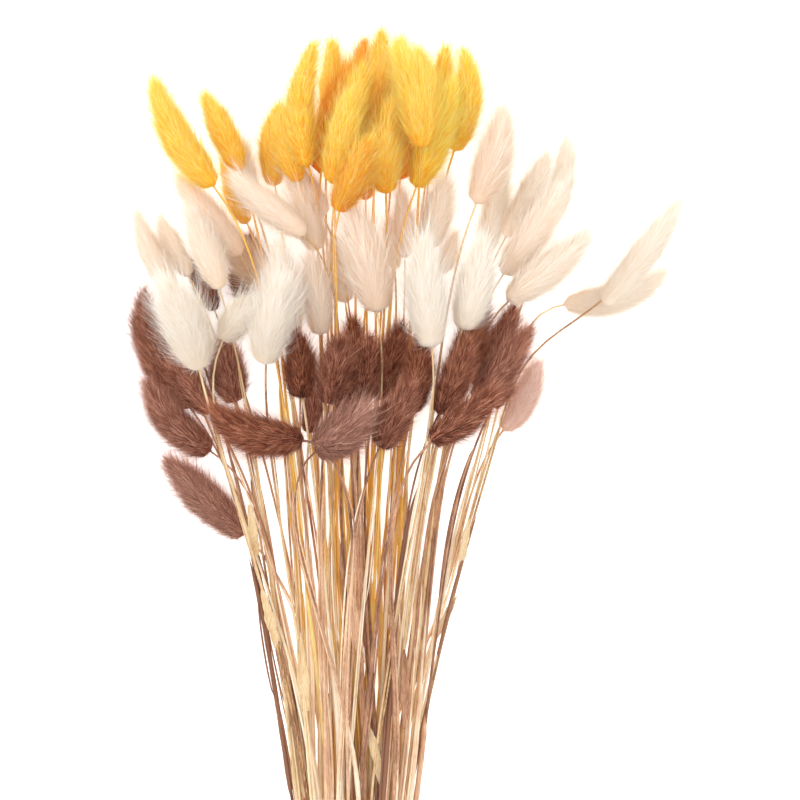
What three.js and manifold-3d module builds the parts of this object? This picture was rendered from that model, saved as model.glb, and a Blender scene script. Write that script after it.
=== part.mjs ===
// A bunch of dried bunny tail grass, laid down: stems, leaf blades, bristly heads and a twine tie.
// Millimetres. The stems run along +Y towards the heads, +Z is up, and the bunch lies on z = 0.
// The origin is under the middle of the whole bunch.
import * as THREE from 'three';
import { mergeVertices } from 'three/addons/utils/BufferGeometryUtils.js';
import Module from 'manifold-3d';

const wasm = await Module();
wasm.setup();

// Plan of the bunch, seen from above: x to the right and y downwards, in units of PLAN_UNIT
const PLAN_UNIT = 0.45;
const PLAN_MIDDLE = 354;
const PLAN_KNEE = 800;
const PLAN_TIE = 985;
const PLAN_CUT = 1080;

// Heights of the heads' middles: level 0 lies on the surface, and each level is a step higher
const LEVEL_FLOOR = 4;
const LEVEL_STEP = 10.4;

// Stems, which are thinner towards their heads
const STEM_RADIUS_TOP = 0.6;
const STEM_RADIUS_LOW = 1.05;
const STEM_THINNED_BY = 0.7;
const STEM_SIDES = 3;
const STEM_STEP = 34;
const STEM_STEPS_LEAST = 3;
const NECK_LENGTH = 9;

// How a stem bends: its lean where it leaves the knee, and how far it keeps each end's direction
const KNEE_LEAN = 0.62;
const KNEE_REACH_SHARE = 0.45;
const NECK_REACH_SHARE = 0.28;
const NECK_REACH_MOST = 34;

// The bunch's section at the tie, and how much wider it is at the knee and at the cut ends
const SLOT_SPACING = 2.52;
const WAIST_HALF_WIDTH = 16.8;
const WAIST_HALF_HEIGHT = 11;
const KNEE_SPREAD_X = 2.05;
const KNEE_SPREAD_Z = 1.4;
const KNEE_RISE = 3;
const CUT_SPREAD = 1.32;

// Heads: a slim core covered in tufts of bristles that lean towards the tip
const HEAD_SECTORS = 5;
const HEAD_RINGS = 6;
const HEAD_SOLID_SHARE = 1.06;
const HEAD_WIDEST = 0.8;
const HEAD_BLUNTNESS = 0.5;
const CORE_SHARE = 0.76;
const TUFT_LEAN = 0.75;
const TUFT_LEAST = 0.9;
const TUFT_SEED = 41;
const FIRST_RING_SHARE = 0.06;
const LAST_RING_SHARE = 0.9;

// Stalks of one colour that grow together at their cut ends
const PAIR_OVERLAP_HALF = 0.4;
const NEIGHBOUR_REACH = 1.2;

// How stalks give way to each other: mostly upwards and downwards, and stems before heads
const CLEARANCE = 0.45;
const SETTLE_ROUNDS = 400;
const LAST_ROUNDS = 60;
const LISTING_ROUNDS = 8;
const LISTING_REACH = 2.5;
const SIDEWAYS_EASE = 0.5;
const LENGTHWAYS_EASE = 0.2;
const ORDER_EASE = 0.25;
const ORDER_REACH = 0.5;
const LEAST_GAIN = 0.45;
const HEAD_GIVE = 0.3;
const HEAD_STIFFNESS = 0.8;
const STEM_STIFFNESS = 0.5;
const PUSH_LIMIT = 1.2;
const HOME_PULL = 0.01;
const HOME_PULL_UP = 0.002;
const NEARLY_NOTHING = 1e-6;
const WELD_REACH = 1e-4;

// Tie
const TWINE_RADIUS = 1.1;
const TWINE_TURNS = 4;
const TWINE_GROOVE = 0.45;
const TWINE_FLAT_FROM = 0.25;
const BAND_STEPS = 20;
const GAP = 0.45;
const KNOT_ACROSS = 2;
const KNOT_LIFT = 0.6;
const KNOT_SIZE = new THREE.Vector3(4, 3.4, 2.6);
const TAIL_SIDES = 5;
const TAIL_STEPS = 7;
const TAIL_RADIUS = 1;
const LEFT_TAIL = [[-6, -4, 1.4], [-10, -13, 1.6], [-6, -21, 2.6]];
const RIGHT_TAIL = [[6, -4, 1.4], [8, -13, 1.6], [8, -27, 2.6]];

// Papery leaf blades
const LEAF_THICKNESS = 0.8;
const LEAF_STEPS = 6;
const LEAF_ROOT_HALF = 0.7;
const LEAF_LIFT = 5;
const LEAF_FOLD = 0.3;
const LEAF_OUTLINE_FROM = 0.1;
const LEAF_OUTLINE_TO = 0.95;
const LEAF_BLUNTNESS = 0.6;
const LEAF_SIDEWAYS_COST = 3;

// Each head: tip x, y, middle x, y, base x, y, width, level, how far the tip rises above the base,
// and, for a few, the points that its stem passes on its way down.
const YELLOW_HEADS = [
  [155, 82, 180, 142, 219, 189, 37, 4.6, 0],
  [205, 95, 221, 128, 242, 174, 30, 2.4, 0],
  [222, 160, 235, 195, 247, 224, 24, 1.0, 0],
  [276, 105, 270, 146, 273, 188, 30, 1.6, 0],
  [287, 110, 289, 146, 301, 184, 29, 2.7, 0],
  [314, 46, 300, 105, 308, 172, 32, 3.4, 0],
  [331, 37, 331, 80, 326, 132, 27, 0, 0],
  [349, 64, 331, 115, 318, 176, 34, 2.6, 0],
  [364, 70, 354, 112, 340, 160, 33, 3.6, 0],
  [352, 98, 344, 140, 333, 188, 34, 4.6, 0],
  [369, 143, 352, 180, 336, 214, 35, 5.4, 14],
  [365, 38, 362, 80, 358, 128, 29, 1.2, 0],
  [379, 30, 378, 74, 376, 124, 29, 2.0, 0],
  [402, 36, 400, 80, 396, 128, 30, 0, 0],
  [400, 55, 417, 98, 421, 153, 42, 4.4, 0],
  [393, 104, 386, 150, 387, 197, 37, 4.2, 0],
  [446, 46, 441, 90, 432, 140, 31, 0, 0],
  [452, 84, 436, 138, 413, 191, 36, 3.6, 0],
  [463, 50, 466, 98, 451, 153, 33, 2.2, 0],
  [374, 84, 371, 128, 371, 172, 30, 2.8, 0],
  [366, 118, 366, 160, 366, 202, 26, 1.6, 0],
  [418, 50, 428, 96, 431, 146, 31, 1.8, 0],
  [408, 84, 405, 134, 401, 180, 31, 1.0, 0],
];

const CREAM_HEADS = [
  [136, 213, 151, 254, 176, 297, 28, 2.2, 0],
  [157, 212, 171, 245, 190, 278, 24, 1.2, 0],
  [190, 212, 206, 245, 223, 293, 32, 3.6, 0],
  [178, 178, 204, 213, 243, 258, 33, 3.2, 0],
  [217, 226, 243, 260, 276, 294, 34, 2.0, 0],
  [247, 142, 246, 170, 258, 206, 28, 1.4, 0],
  [237, 178, 268, 206, 310, 237, 32, 4.0, 0],
  [288, 163, 304, 188, 324, 216, 32, 2.6, 0],
  [300, 196, 311, 224, 320, 252, 32, 3.2, 0],
  [168, 286, 189, 326, 202, 372, 47, 5.2, 12],
  [262, 300, 243, 318, 222, 340, 36, 4.6, 6],
  [284, 284, 273, 326, 267, 366, 42, 5.4, 10],
  [284, 247, 291, 290, 299, 340, 38, 4.6, 0],
  [310, 256, 317, 296, 321, 338, 33, 4.2, 0],
  [334, 238, 340, 270, 346, 304, 30, 2.4, 0],
  [354, 214, 367, 262, 379, 316, 46, 5.2, 0],
  [388, 214, 392, 242, 396, 270, 20, 1.6, 0],
  [404, 188, 407, 224, 408, 260, 24, 3.2, 0],
  [424, 243, 425, 295, 433, 352, 41, 5.8, 0],
  [442, 180, 434, 214, 426, 250, 34, 2.8, 0],
  [456, 232, 448, 254, 440, 274, 22, 1.6, 0],
  [483, 244, 475, 288, 461, 334, 39, 5.0, 0],
  [503, 112, 494, 158, 474, 206, 38, 3.8, 0],
  [506, 162, 496, 208, 485, 258, 28, 1.0, 0],
  [549, 152, 531, 194, 504, 238, 29, 2.2, 0],
  [569, 130, 564, 178, 549, 228, 27, 1.0, 0],
  [559, 188, 534, 232, 500, 276, 36, 3.0, 0],
  [588, 234, 550, 268, 503, 302, 37, 3.8, 0],
  [668, 270, 622, 296, 562, 302, 34, 0, 0, [[545, 299], [529, 309], [517, 337], [497, 420], [456, 570]]],
  [684, 195, 650, 248, 600, 308, 32, 1.6, 0, [[572, 321], [541, 341], [515, 372], [499, 436], [461, 565]]],
];

const BROWN_HEADS = [
  [143, 290, 152, 350, 193, 412, 36, 1.8, 0],
  [163, 300, 172, 336, 186, 376, 26, 0.6, 0],
  [171, 360, 192, 388, 212, 414, 31, 3.4, 0],
  [222, 340, 226, 372, 236, 404, 38, 2.2, 0],
  [147, 384, 174, 424, 214, 452, 36, 3.2, 0],
  [165, 460, 202, 498, 247, 538, 37, 0, 0],
  [216, 408, 256, 434, 310, 437, 40, 6.6, 0],
  [372, 408, 348, 434, 318, 450, 44, 6.4, 8],
  [299, 336, 303, 368, 302, 398, 34, 4.6, 6],
  [337, 338, 332, 372, 326, 406, 35, 5.2, 8],
  [314, 388, 312, 410, 309, 434, 22, 2.6, 0],
  [350, 320, 351, 358, 349, 398, 31, 3.4, 0],
  [371, 338, 367, 371, 362, 405, 30, 5.0, 8],
  [400, 326, 387, 364, 374, 402, 34, 4.2, 0],
  [346, 388, 346, 408, 344, 428, 24, 4.0, 4],
  [406, 386, 389, 418, 374, 448, 36, 6.2, 6],
  [413, 340, 408, 370, 402, 402, 27, 1.4, 0],
  [430, 338, 427, 376, 418, 415, 32, 5.4, 0],
  [459, 340, 446, 378, 429, 415, 33, 5.0, 0],
  [487, 306, 471, 348, 453, 392, 34, 3.8, 0],
  [515, 305, 497, 350, 474, 390, 32, 3.0, 0],
  [529, 328, 503, 366, 472, 402, 33, 4.2, 0],
  [494, 390, 463, 418, 428, 441, 33, 5.6, 0],
  [513, 372, 503, 390, 492, 408, 22, 2.0, 0],
  [540, 360, 526, 398, 504, 432, 30, 0, 0, [[488, 448], [473, 478], [454, 570]]],
  [192, 256, 200, 280, 214, 312, 24, 0.8, 0],
  [247, 236, 256, 262, 268, 300, 26, 0.4, 0],
  [234, 270, 250, 292, 272, 312, 26, 1.2, 0],
];

// Leaf blades that stand off their stems: colour, root x, y, tip x, y, width
const LEAVES = [
  ['cream', 264, 556, 249, 505, 7],
  ['cream', 276, 650, 262, 590, 8],
  ['cream', 312, 712, 299, 634, 9],
  ['cream', 304, 800, 283, 652, 14],
  ['cream', 387, 800, 366, 722, 8],
  ['brown', 364, 664, 347, 574, 8],
  ['brown', 412, 730, 404, 650, 8],
  ['brown', 404, 830, 397, 768, 8],
  ['cream', 455, 566, 470, 520, 6],
  ['cream', 444, 642, 457, 598, 6],
];

const COLOURS = {
  yellow: { heads: YELLOW_HEADS, pairs: 7, colour: 0xe9b02c, roughness: 0.85 },
  cream: { heads: CREAM_HEADS, pairs: 8, colour: 0xecdcc2, roughness: 0.85 },
  brown: { heads: BROWN_HEADS, pairs: 7, colour: 0x7c4a3a, roughness: 0.85 },
};
const TWINE_COLOUR = { colour: 0xb89464, roughness: 0.9 };

const TIE_Y = (PLAN_CUT - PLAN_TIE) * PLAN_UNIT;
const KNEE_Y = (PLAN_CUT - PLAN_KNEE) * PLAN_UNIT;
const BAND_TOP = 2 * TWINE_RADIUS;
const WAIST_Z = (WAIST_HALF_HEIGHT + GAP + BAND_TOP) * Math.cos(Math.PI / BAND_STEPS);
const KNEE_Z = KNEE_RISE + WAIST_HALF_HEIGHT * KNEE_SPREAD_Z;
const UP = new THREE.Vector3(0, 0, 1);
const { lerp, clamp, seededRandom } = THREE.MathUtils;

const planPoint = (x, y, z) => new THREE.Vector3(
  (x - PLAN_MIDDLE) * PLAN_UNIT, (PLAN_CUT - y) * PLAN_UNIT, z);

// The outline of a head: blunt at its base, widest below the middle, soft at its tip.
function headRadius(share) {
  const along = clamp(share, 0, 1);
  return Math.pow(Math.sin(Math.PI * Math.pow(along, HEAD_WIDEST)), HEAD_BLUNTNESS);
}

const ringShare = (ring) => lerp(FIRST_RING_SHARE, LAST_RING_SHARE, ring / HEAD_RINGS);

// A head's centre line is one smooth bend through its base, middle and tip.
function headCurve(row, radius) {
  const [tipX, tipY, middleX, middleY, baseX, baseY, , level, rise] = row;
  const height = Math.max(radius, LEVEL_FLOOR + LEVEL_STEP * level);
  const base = planPoint(baseX, baseY, height - rise / 2);
  const middle = planPoint(middleX, middleY, height);
  const tip = planPoint(tipX, tipY, height + rise / 2);
  const control = middle.multiplyScalar(2).addScaledVector(base, -0.5).addScaledVector(tip, -0.5);
  return new THREE.QuadraticBezierCurve3(base, control, tip);
}

function makeStalks() {
  const stalks = [];
  for (const [name, group] of Object.entries(COLOURS)) {
    for (const row of group.heads) {
      const radius = row[6] / 2 * PLAN_UNIT * HEAD_SOLID_SHARE;
      const curve = headCurve(row, radius);
      const run = curve.v0.y - TIE_Y;
      const slopeX = curve.v0.x / run;
      const slopeZ = (curve.v0.z - WAIST_Z) / run;
      stalks.push({ name, row, curve, radius, slopeX, slopeZ });
    }
  }
  return stalks;
}

// Places for the stems inside the tie, in close-packed rows from the lowest to the highest.
function waistRows() {
  const rows = [];
  const highest = WAIST_HALF_HEIGHT - STEM_RADIUS_LOW;
  const widest = WAIST_HALF_WIDTH - STEM_RADIUS_LOW;
  const rowStep = SLOT_SPACING * Math.sqrt(3) / 2;
  const rowCount = Math.floor(2 * highest / rowStep) + 1;
  const reach = Math.ceil(widest / SLOT_SPACING);
  for (let row = 0; row < rowCount; row += 1) {
    const z = (row - (rowCount - 1) / 2) * rowStep;
    const halfWidth = widest * Math.sqrt(Math.max(0, 1 - (z / highest) ** 2));
    const shift = row % 2 ? SLOT_SPACING / 2 : 0;
    const slots = [];
    for (let step = -reach; step <= reach; step += 1) {
      const x = step * SLOT_SPACING + shift;
      if (Math.abs(x) <= halfWidth) slots.push({ x, z });
    }
    rows.push(slots);
  }
  return rows;
}

// Higher heads take the higher rows, and in each row the stems keep their order from left to right.
function giveSlots(stalks) {
  const rows = waistRows();
  const room = rows.reduce((sum, row) => sum + row.length, 0);
  const ordered = [...stalks].sort((one, two) => one.slopeZ - two.slopeZ);
  let taken = 0;
  let passed = 0;
  for (const slots of rows) {
    passed += slots.length;
    const last = Math.round(passed * ordered.length / room);
    const inRow = ordered.slice(taken, last).sort((one, two) => one.slopeX - two.slopeX);
    const skip = (slots.length - inRow.length) / 2;
    inRow.forEach((stalk, place) => {
      const x = slots[0].x + (place + skip) * SLOT_SPACING;
      stalk.slot = new THREE.Vector3(x, TIE_Y, WAIST_Z + slots[0].z);
    });
    taken = last;
  }
}

// Neighbouring stalks of one colour that grow together at their cut ends, nearest heads first.
function joinPairs(stalks) {
  for (const [name, group] of Object.entries(COLOURS)) {
    const own = stalks.filter((stalk) => stalk.name === name);
    const options = [];
    own.forEach((one, place) => {
      for (const two of own.slice(place + 1)) {
        if (one.slot.distanceTo(two.slot) > SLOT_SPACING * NEIGHBOUR_REACH) continue;
        options.push({ one, two, far: one.curve.v0.distanceTo(two.curve.v0) });
      }
    });
    options.sort((near, next) => near.far - next.far);
    let left = group.pairs;
    for (const { one, two } of options) {
      if (!left || one.partner || two.partner) continue;
      one.partner = two;
      two.partner = one;
      left -= 1;
    }
    if (left) throw new Error(`${name}: ${left} pairs short`);
  }
}

// Below the tie the stems spread again, down to their cut ends.
function cutPoint({ slot }) {
  return new THREE.Vector3(slot.x * CUT_SPREAD, 0, lerp(WAIST_Z, slot.z, CUT_SPREAD));
}

function pairedCutPoint(stalk) {
  if (!stalk.partner) return cutPoint(stalk);
  const away = stalk.slot.clone().sub(stalk.partner.slot).normalize();
  const middle = cutPoint(stalk).lerp(cutPoint(stalk.partner), 0.5);
  return middle.addScaledVector(away, PAIR_OVERLAP_HALF);
}

// From the knee to the head: along the bunch first, and then round into the head's own direction.
function stemCurve(knee, { row, curve }) {
  const base = curve.v0.clone();
  const passing = row[9] ?? [];
  if (passing.length) {
    const points = passing.map(([x, y], place) => {
      const share = (place + 1) / (passing.length + 1);
      return planPoint(x, y, lerp(base.z, knee.z, share ** 2));
    });
    return new THREE.CatmullRomCurve3([knee, ...points.reverse(), base]);
  }
  const chord = base.clone().sub(knee);
  const length = chord.length();
  const kneeWay = new THREE.Vector3(0, 1, 0).lerp(chord.normalize(), KNEE_LEAN).normalize();
  const reach = Math.min(NECK_REACH_SHARE * length, NECK_REACH_MOST);
  const fromKnee = knee.clone().addScaledVector(kneeWay, KNEE_REACH_SHARE * length);
  const toHead = base.clone().addScaledVector(curve.getTangent(0), -reach);
  return new THREE.CubicBezierCurve3(knee, fromKnee, toHead, base);
}

// Ring centres of a stalk from its cut end up to its tip, with the radius of each.
function stalkNodes(stalk) {
  const { slot, curve, radius } = stalk;
  const kneeZ = KNEE_Z + (slot.z - WAIST_Z) * KNEE_SPREAD_Z;
  const knee = new THREE.Vector3(slot.x * KNEE_SPREAD_X, KNEE_Y, kneeZ);
  const stem = stemCurve(knee, stalk);
  const nodes = [
    { p: pairedCutPoint(stalk), r: STEM_RADIUS_LOW, fixed: true },
    { p: slot.clone(), r: STEM_RADIUS_LOW, fixed: true },
    { p: slot.clone().lerp(knee, 0.5), r: STEM_RADIUS_LOW, fixed: true },
  ];
  const length = stem.getLength();
  const steps = Math.max(STEM_STEPS_LEAST, Math.round((length - NECK_LENGTH) / STEM_STEP));
  for (let step = 0; step <= steps; step += 1) {
    const share = step / steps * (1 - NECK_LENGTH / length);
    const r = lerp(STEM_RADIUS_LOW, STEM_RADIUS_TOP, Math.min(1, share / STEM_THINNED_BY));
    nodes.push({ p: stem.getPointAt(share), r, fixed: false });
  }
  stalk.headStart = nodes.length;
  const ringShares = Array.from({ length: HEAD_RINGS + 1 }, (unused, ring) => ringShare(ring));
  for (const share of [0, ...ringShares, 1]) {
    const r = Math.max(STEM_RADIUS_TOP, radius * headRadius(share));
    nodes.push({ p: curve.getPoint(share), r, fixed: false });
  }
  stalk.nodes = nodes;
}

// Where a leaf can spring from a stalk: the point of its stem that is as far along as the root.
function springingPoint(stalk, root) {
  const at = stalk.nodes.findIndex((node) => node.p.y > root.y);
  if (at < 1 || at >= stalk.headStart) return null;
  const low = stalk.nodes[at - 1].p;
  const high = stalk.nodes[at].p;
  const share = (root.y - low.y) / (high.y - low.y);
  const point = low.clone().lerp(high, share);
  const worth = point.z - LEAF_SIDEWAYS_COST * Math.abs(point.x - root.x);
  return { stalk, at, share, point, worth };
}

// A leaf blade springs from the stem of its colour that passes near its root and on top of the rest.
function makeLeaf(stalks, [name, rootX, rootY, tipX, tipY, width]) {
  const root = planPoint(rootX, rootY, 0);
  const best = stalks.filter((stalk) => stalk.name === name && !stalk.leaf)
    .map((stalk) => springingPoint(stalk, root))
    .filter((option) => option)
    .reduce((one, two) => (two.worth > one.worth ? two : one));
  const tip = planPoint(tipX, tipY, best.point.z + LEAF_LIFT);
  const nodes = [];
  for (let step = 0; step <= LEAF_STEPS; step += 1) {
    const along = step / LEAF_STEPS;
    const swell = Math.sin(Math.PI * lerp(LEAF_OUTLINE_FROM, LEAF_OUTLINE_TO, along));
    const full = width / 2 * PLAN_UNIT * Math.pow(swell, LEAF_BLUNTNESS);
    nodes.push({
      p: best.point.clone().lerp(tip, along),
      r: step ? full : LEAF_ROOT_HALF,
      fixed: step === 0,
    });
  }
  const slopeZ = best.stalk.slopeZ + NEARLY_NOTHING;
  const leaf = { nodes, headStart: nodes.length, slopeZ, grownFrom: best };
  best.stalk.leaf = leaf;
  return leaf;
}

function followStem(leaf) {
  const { stalk, at, share } = leaf.grownFrom;
  leaf.nodes[0].p.lerpVectors(stalk.nodes[at - 1].p, stalk.nodes[at].p, share);
}

const firstWay = new THREE.Vector3();
const secondWay = new THREE.Vector3();
const between = new THREE.Vector3();

// Where two straight pieces come closest: the share along each.
function closestShares(one, two) {
  firstWay.subVectors(one.b.p, one.a.p);
  secondWay.subVectors(two.b.p, two.a.p);
  between.subVectors(one.a.p, two.a.p);
  const firstSquare = firstWay.lengthSq();
  const secondSquare = secondWay.lengthSq();
  const both = firstWay.dot(secondWay);
  const firstLag = firstWay.dot(between);
  const secondLag = secondWay.dot(between);
  const spread = firstSquare * secondSquare - both * both;
  let s = 0.5;
  if (spread > NEARLY_NOTHING) {
    s = clamp((both * secondLag - firstLag * secondSquare) / spread, 0, 1);
  }
  const t = clamp((both * s + secondLag) / secondSquare, 0, 1);
  if (t === 0) s = clamp(-firstLag / firstSquare, 0, 1);
  if (t === 1) s = clamp((both - firstLag) / firstSquare, 0, 1);
  return { s, t };
}

const grownTogether = (one, two) => one.stalk === two.stalk || one.stalk.leaf === two.stalk
  || two.stalk.leaf === one.stalk
  || (one.stalk.partner === two.stalk && one.a.fixed && two.a.fixed);

// Pairs of straight pieces, of two stalks, that are close enough to touch soon.
function closePairs(links) {
  const room = new THREE.Vector3();
  for (const link of links) {
    room.setScalar(Math.max(link.a.r, link.b.r) + LISTING_REACH);
    link.box.setFromPoints([link.a.p, link.b.p]).expandByVector(room);
  }
  const ordered = [...links].sort((one, two) => one.box.min.x - two.box.min.x);
  const pairs = [];
  ordered.forEach((one, place) => {
    for (let next = place + 1; next < ordered.length; next += 1) {
      const two = ordered[next];
      if (two.box.min.x > one.box.max.x) break;
      if (one.box.intersectsBox(two.box) && !grownTogether(one, two)) pairs.push([one, two]);
    }
  });
  return pairs;
}

const onFirst = new THREE.Vector3();
const onSecond = new THREE.Vector3();
const apart = new THREE.Vector3();
const way = new THREE.Vector3();

// Two straight pieces, each with its own thickness, that fall short of being clear move apart.
function pushApart(one, two) {
  const { s, t } = closestShares(one, two);
  onFirst.lerpVectors(one.a.p, one.b.p, s);
  onSecond.lerpVectors(two.a.p, two.b.p, t);
  apart.subVectors(onFirst, onSecond);
  const distance = apart.length();
  const missing = lerp(one.a.r, one.b.r, s) + lerp(two.a.r, two.b.r, t) + CLEARANCE - distance;
  if (missing <= 0) return;
  const order = one.stalk.slopeZ >= two.stalk.slopeZ ? 1 : -1;
  way.set(apart.x * SIDEWAYS_EASE, apart.y * LENGTHWAYS_EASE, apart.z);
  way.z += order * ORDER_EASE * Math.max(distance, ORDER_REACH);
  way.normalize();
  const gain = distance > NEARLY_NOTHING ? Math.max(LEAST_GAIN, way.dot(apart) / distance) : 1;
  const moves = [[one.a, 1 - s, 1], [one.b, s, 1], [two.a, 1 - t, -1], [two.b, t, -1]];
  const total = moves.reduce((sum, [node, share]) => sum + share ** 2 * node.give, 0);
  if (total < NEARLY_NOTHING) return;
  const amount = Math.min(missing, PUSH_LIMIT) / gain / total;
  for (const [node, share, sign] of moves) {
    node.p.addScaledVector(way, sign * share * node.give * amount);
  }
}

// Stems bend evenly and heads move as they are, so that what is pushed keeps its shape.
function smoothStalk({ nodes, headStart }, ease) {
  const moved = nodes.map((node) => node.p.clone().sub(node.start));
  const headMoved = new THREE.Vector3();
  for (const move of moved.slice(headStart)) {
    headMoved.addScaledVector(move, 1 / (nodes.length - headStart));
  }
  nodes.forEach((node, at) => {
    if (at >= headStart) {
      moved[at].lerp(headMoved, HEAD_STIFFNESS);
    } else if (!node.fixed) {
      const middle = moved[at - 1].clone().add(moved[at + 1] ?? moved[at - 1]).multiplyScalar(0.5);
      moved[at].lerp(middle, ease);
    }
  });
  nodes.forEach((node, at) => {
    if (node.fixed) return;
    moved[at].x *= 1 - HOME_PULL;
    moved[at].y *= 1 - HOME_PULL;
    moved[at].z *= 1 - HOME_PULL_UP;
    node.p.copy(node.start).add(moved[at]);
  });
}

// A five-sided ring reaches a little less far down than its radius.
const RING_DEPTH = Math.cos(Math.PI / 2 / HEAD_SECTORS);

function keepAboveSurface({ nodes }) {
  for (const node of nodes) {
    if (!node.fixed) node.p.z = Math.max(node.p.z, node.r * RING_DEPTH);
  }
}

function settle(stalks, leaves) {
  const links = [];
  const grown = [...stalks, ...leaves];
  for (const stalk of grown) {
    stalk.nodes.forEach((node, at) => {
      node.start = node.p.clone();
      node.give = at >= stalk.headStart ? HEAD_GIVE : 1;
      if (node.fixed) node.give = 0;
      if (at) links.push({ stalk, a: stalk.nodes[at - 1], b: node, box: new THREE.Box3() });
    });
  }
  let pairs = [];
  for (let round = 0; round < SETTLE_ROUNDS; round += 1) {
    if (round % LISTING_ROUNDS === 0) pairs = closePairs(links);
    for (const [one, two] of pairs) pushApart(one, two);
    leaves.forEach(followStem);
    if (round < SETTLE_ROUNDS - LAST_ROUNDS) {
      const ease = STEM_STIFFNESS * (1 - round / SETTLE_ROUNDS);
      grown.forEach((stalk) => smoothStalk(stalk, ease));
    }
    grown.forEach(keepAboveSurface);
  }
  leaves.forEach(followStem);
}

// The level direction and the upward one, both square to a direction along the bunch.
function acrossFrom(along) {
  const side = new THREE.Vector3().crossVectors(UP, along).normalize();
  const lift = new THREE.Vector3().crossVectors(along, side).normalize();
  return { side, lift };
}

// A closed surface made of rings of points and the bands between them.
class Shell {
  constructor(points = [], faces = []) {
    this.points = points;
    this.faces = faces;
  }

  add(point) {
    this.points.push(point.x, point.y, Math.max(point.z, 0));
    return this.points.length / 3 - 1;
  }

  ring(centre, along, radiusOf, sides, turn) {
    const { side, lift } = acrossFrom(along);
    return Array.from({ length: sides }, (unused, corner) => {
      const angle = (corner + turn) / sides * 2 * Math.PI;
      const radius = radiusOf();
      const point = centre.clone().addScaledVector(side, Math.cos(angle) * radius);
      return this.add(point.addScaledVector(lift, Math.sin(angle) * radius));
    });
  }

  // A band of triangles between two rings that may have different numbers of corners.
  bridge(lower, upper) {
    let one = 0;
    let two = 0;
    while (one < lower.length || two < upper.length) {
      const a = lower[one % lower.length];
      const b = upper[two % upper.length];
      const lowerBehind = (one + 0.5) / lower.length < (two + 0.5) / upper.length;
      if (one < lower.length && (lowerBehind || two === upper.length)) {
        one += 1;
        this.faces.push(a, lower[one % lower.length], b);
      } else {
        two += 1;
        this.faces.push(a, upper[two % upper.length], b);
      }
    }
  }

  bridgeAll(rings) {
    rings.slice(1).forEach((ring, at) => this.bridge(rings[at], ring));
  }

  cap(ring, top) {
    for (let corner = 1; corner + 1 < ring.length; corner += 1) {
      const pair = [ring[corner], ring[corner + 1]];
      this.faces.push(ring[0], ...(top ? pair : pair.reverse()));
    }
  }

  solid() {
    const mesh = new wasm.Mesh({
      numProp: 3,
      vertProperties: new Float32Array(this.points),
      triVerts: new Uint32Array(this.faces),
    });
    return new wasm.Manifold(mesh);
  }
}

// The tufts: a net of diamonds round the core, each raised to a point that leans towards the tip.
function addHead(shell, { nodes, headStart, radius }, stemTop) {
  const centres = nodes.slice(headStart).map((node) => node.p);
  const along = centres.map((centre, at) => {
    const next = centres[Math.min(at + 1, centres.length - 1)];
    return next.clone().sub(centres[Math.max(at - 1, 0)]).normalize();
  });
  const rings = [];
  for (let ring = 0; ring <= HEAD_RINGS; ring += 1) {
    const size = radius * CORE_SHARE * headRadius(ringShare(ring));
    const turn = 0.5 * (ring % 2);
    rings.push(shell.ring(centres[ring + 1], along[ring + 1], () => size, HEAD_SECTORS, turn));
  }
  const corner = (ring, place) => rings[ring][place % HEAD_SECTORS];
  shell.bridge(stemTop, rings[0]);
  for (let ring = 1; ring < HEAD_RINGS; ring += 1) {
    const share = lerp(ringShare(ring), ringShare(ring + 1), TUFT_LEAN);
    const centre = centres[ring + 1].clone().lerp(centres[ring + 2], TUFT_LEAN);
    const lean = along[ring + 1].clone().lerp(along[ring + 2], TUFT_LEAN).normalize();
    const size = radius * headRadius(share);
    const reach = () => size * lerp(TUFT_LEAST, 1, seededRandom());
    const odd = ring % 2;
    shell.ring(centre, lean, reach, HEAD_SECTORS, 0.5 + 0.5 * odd).forEach((point, place) => {
      const below = corner(ring - 1, place + odd);
      const above = corner(ring + 1, place + odd);
      const left = corner(ring, place);
      const right = corner(ring, place + 1);
      shell.faces.push(below, right, point, right, above, point);
      shell.faces.push(above, left, point, left, below, point);
    });
  }
  const tip = shell.add(centres[centres.length - 1]);
  for (let place = 0; place < HEAD_SECTORS; place += 1) {
    shell.faces.push(corner(0, place), corner(0, place + 1), corner(1, place));
    const left = corner(HEAD_RINGS, place);
    const right = corner(HEAD_RINGS, place + 1);
    shell.faces.push(corner(HEAD_RINGS - 1, place + HEAD_RINGS % 2), right, left);
    shell.faces.push(left, right, tip);
  }
}

function stalkSolid(stalk) {
  const { nodes, headStart } = stalk;
  const shell = new Shell();
  const rings = nodes.slice(0, headStart + 1).map((node, at) => {
    const before = nodes[Math.max(at - 1, 0)].p;
    const along = nodes[at + 1].p.clone().sub(before).normalize();
    return shell.ring(node.p, along, () => node.r, STEM_SIDES, 0);
  });
  shell.cap(rings[0], false);
  shell.bridgeAll(rings);
  addHead(shell, stalk, rings[headStart]);
  return shell.solid();
}

// A blade folded along its middle: each ring has two edges, a ridge and a hollow below it.
function leafSolid({ nodes }) {
  const shell = new Shell();
  const rings = nodes.slice(0, -1).map((node, at) => {
    const before = nodes[Math.max(at - 1, 0)].p;
    const along = nodes[at + 1].p.clone().sub(before).normalize();
    const { side, lift } = acrossFrom(along);
    const corner = (across, up) => shell.add(
      node.p.clone().addScaledVector(side, across).addScaledVector(lift, up));
    return [
      corner(node.r, -node.r * LEAF_FOLD),
      corner(0, LEAF_THICKNESS / 2),
      corner(-node.r, -node.r * LEAF_FOLD),
      corner(0, -LEAF_THICKNESS / 2),
    ];
  });
  const [right, ridge, left, hollow] = rings[0];
  shell.cap([ridge, left, hollow, right], false);
  shell.bridgeAll(rings);
  shell.bridge(rings[rings.length - 1], [shell.add(nodes[nodes.length - 1].p)]);
  return shell.solid();
}

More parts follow.
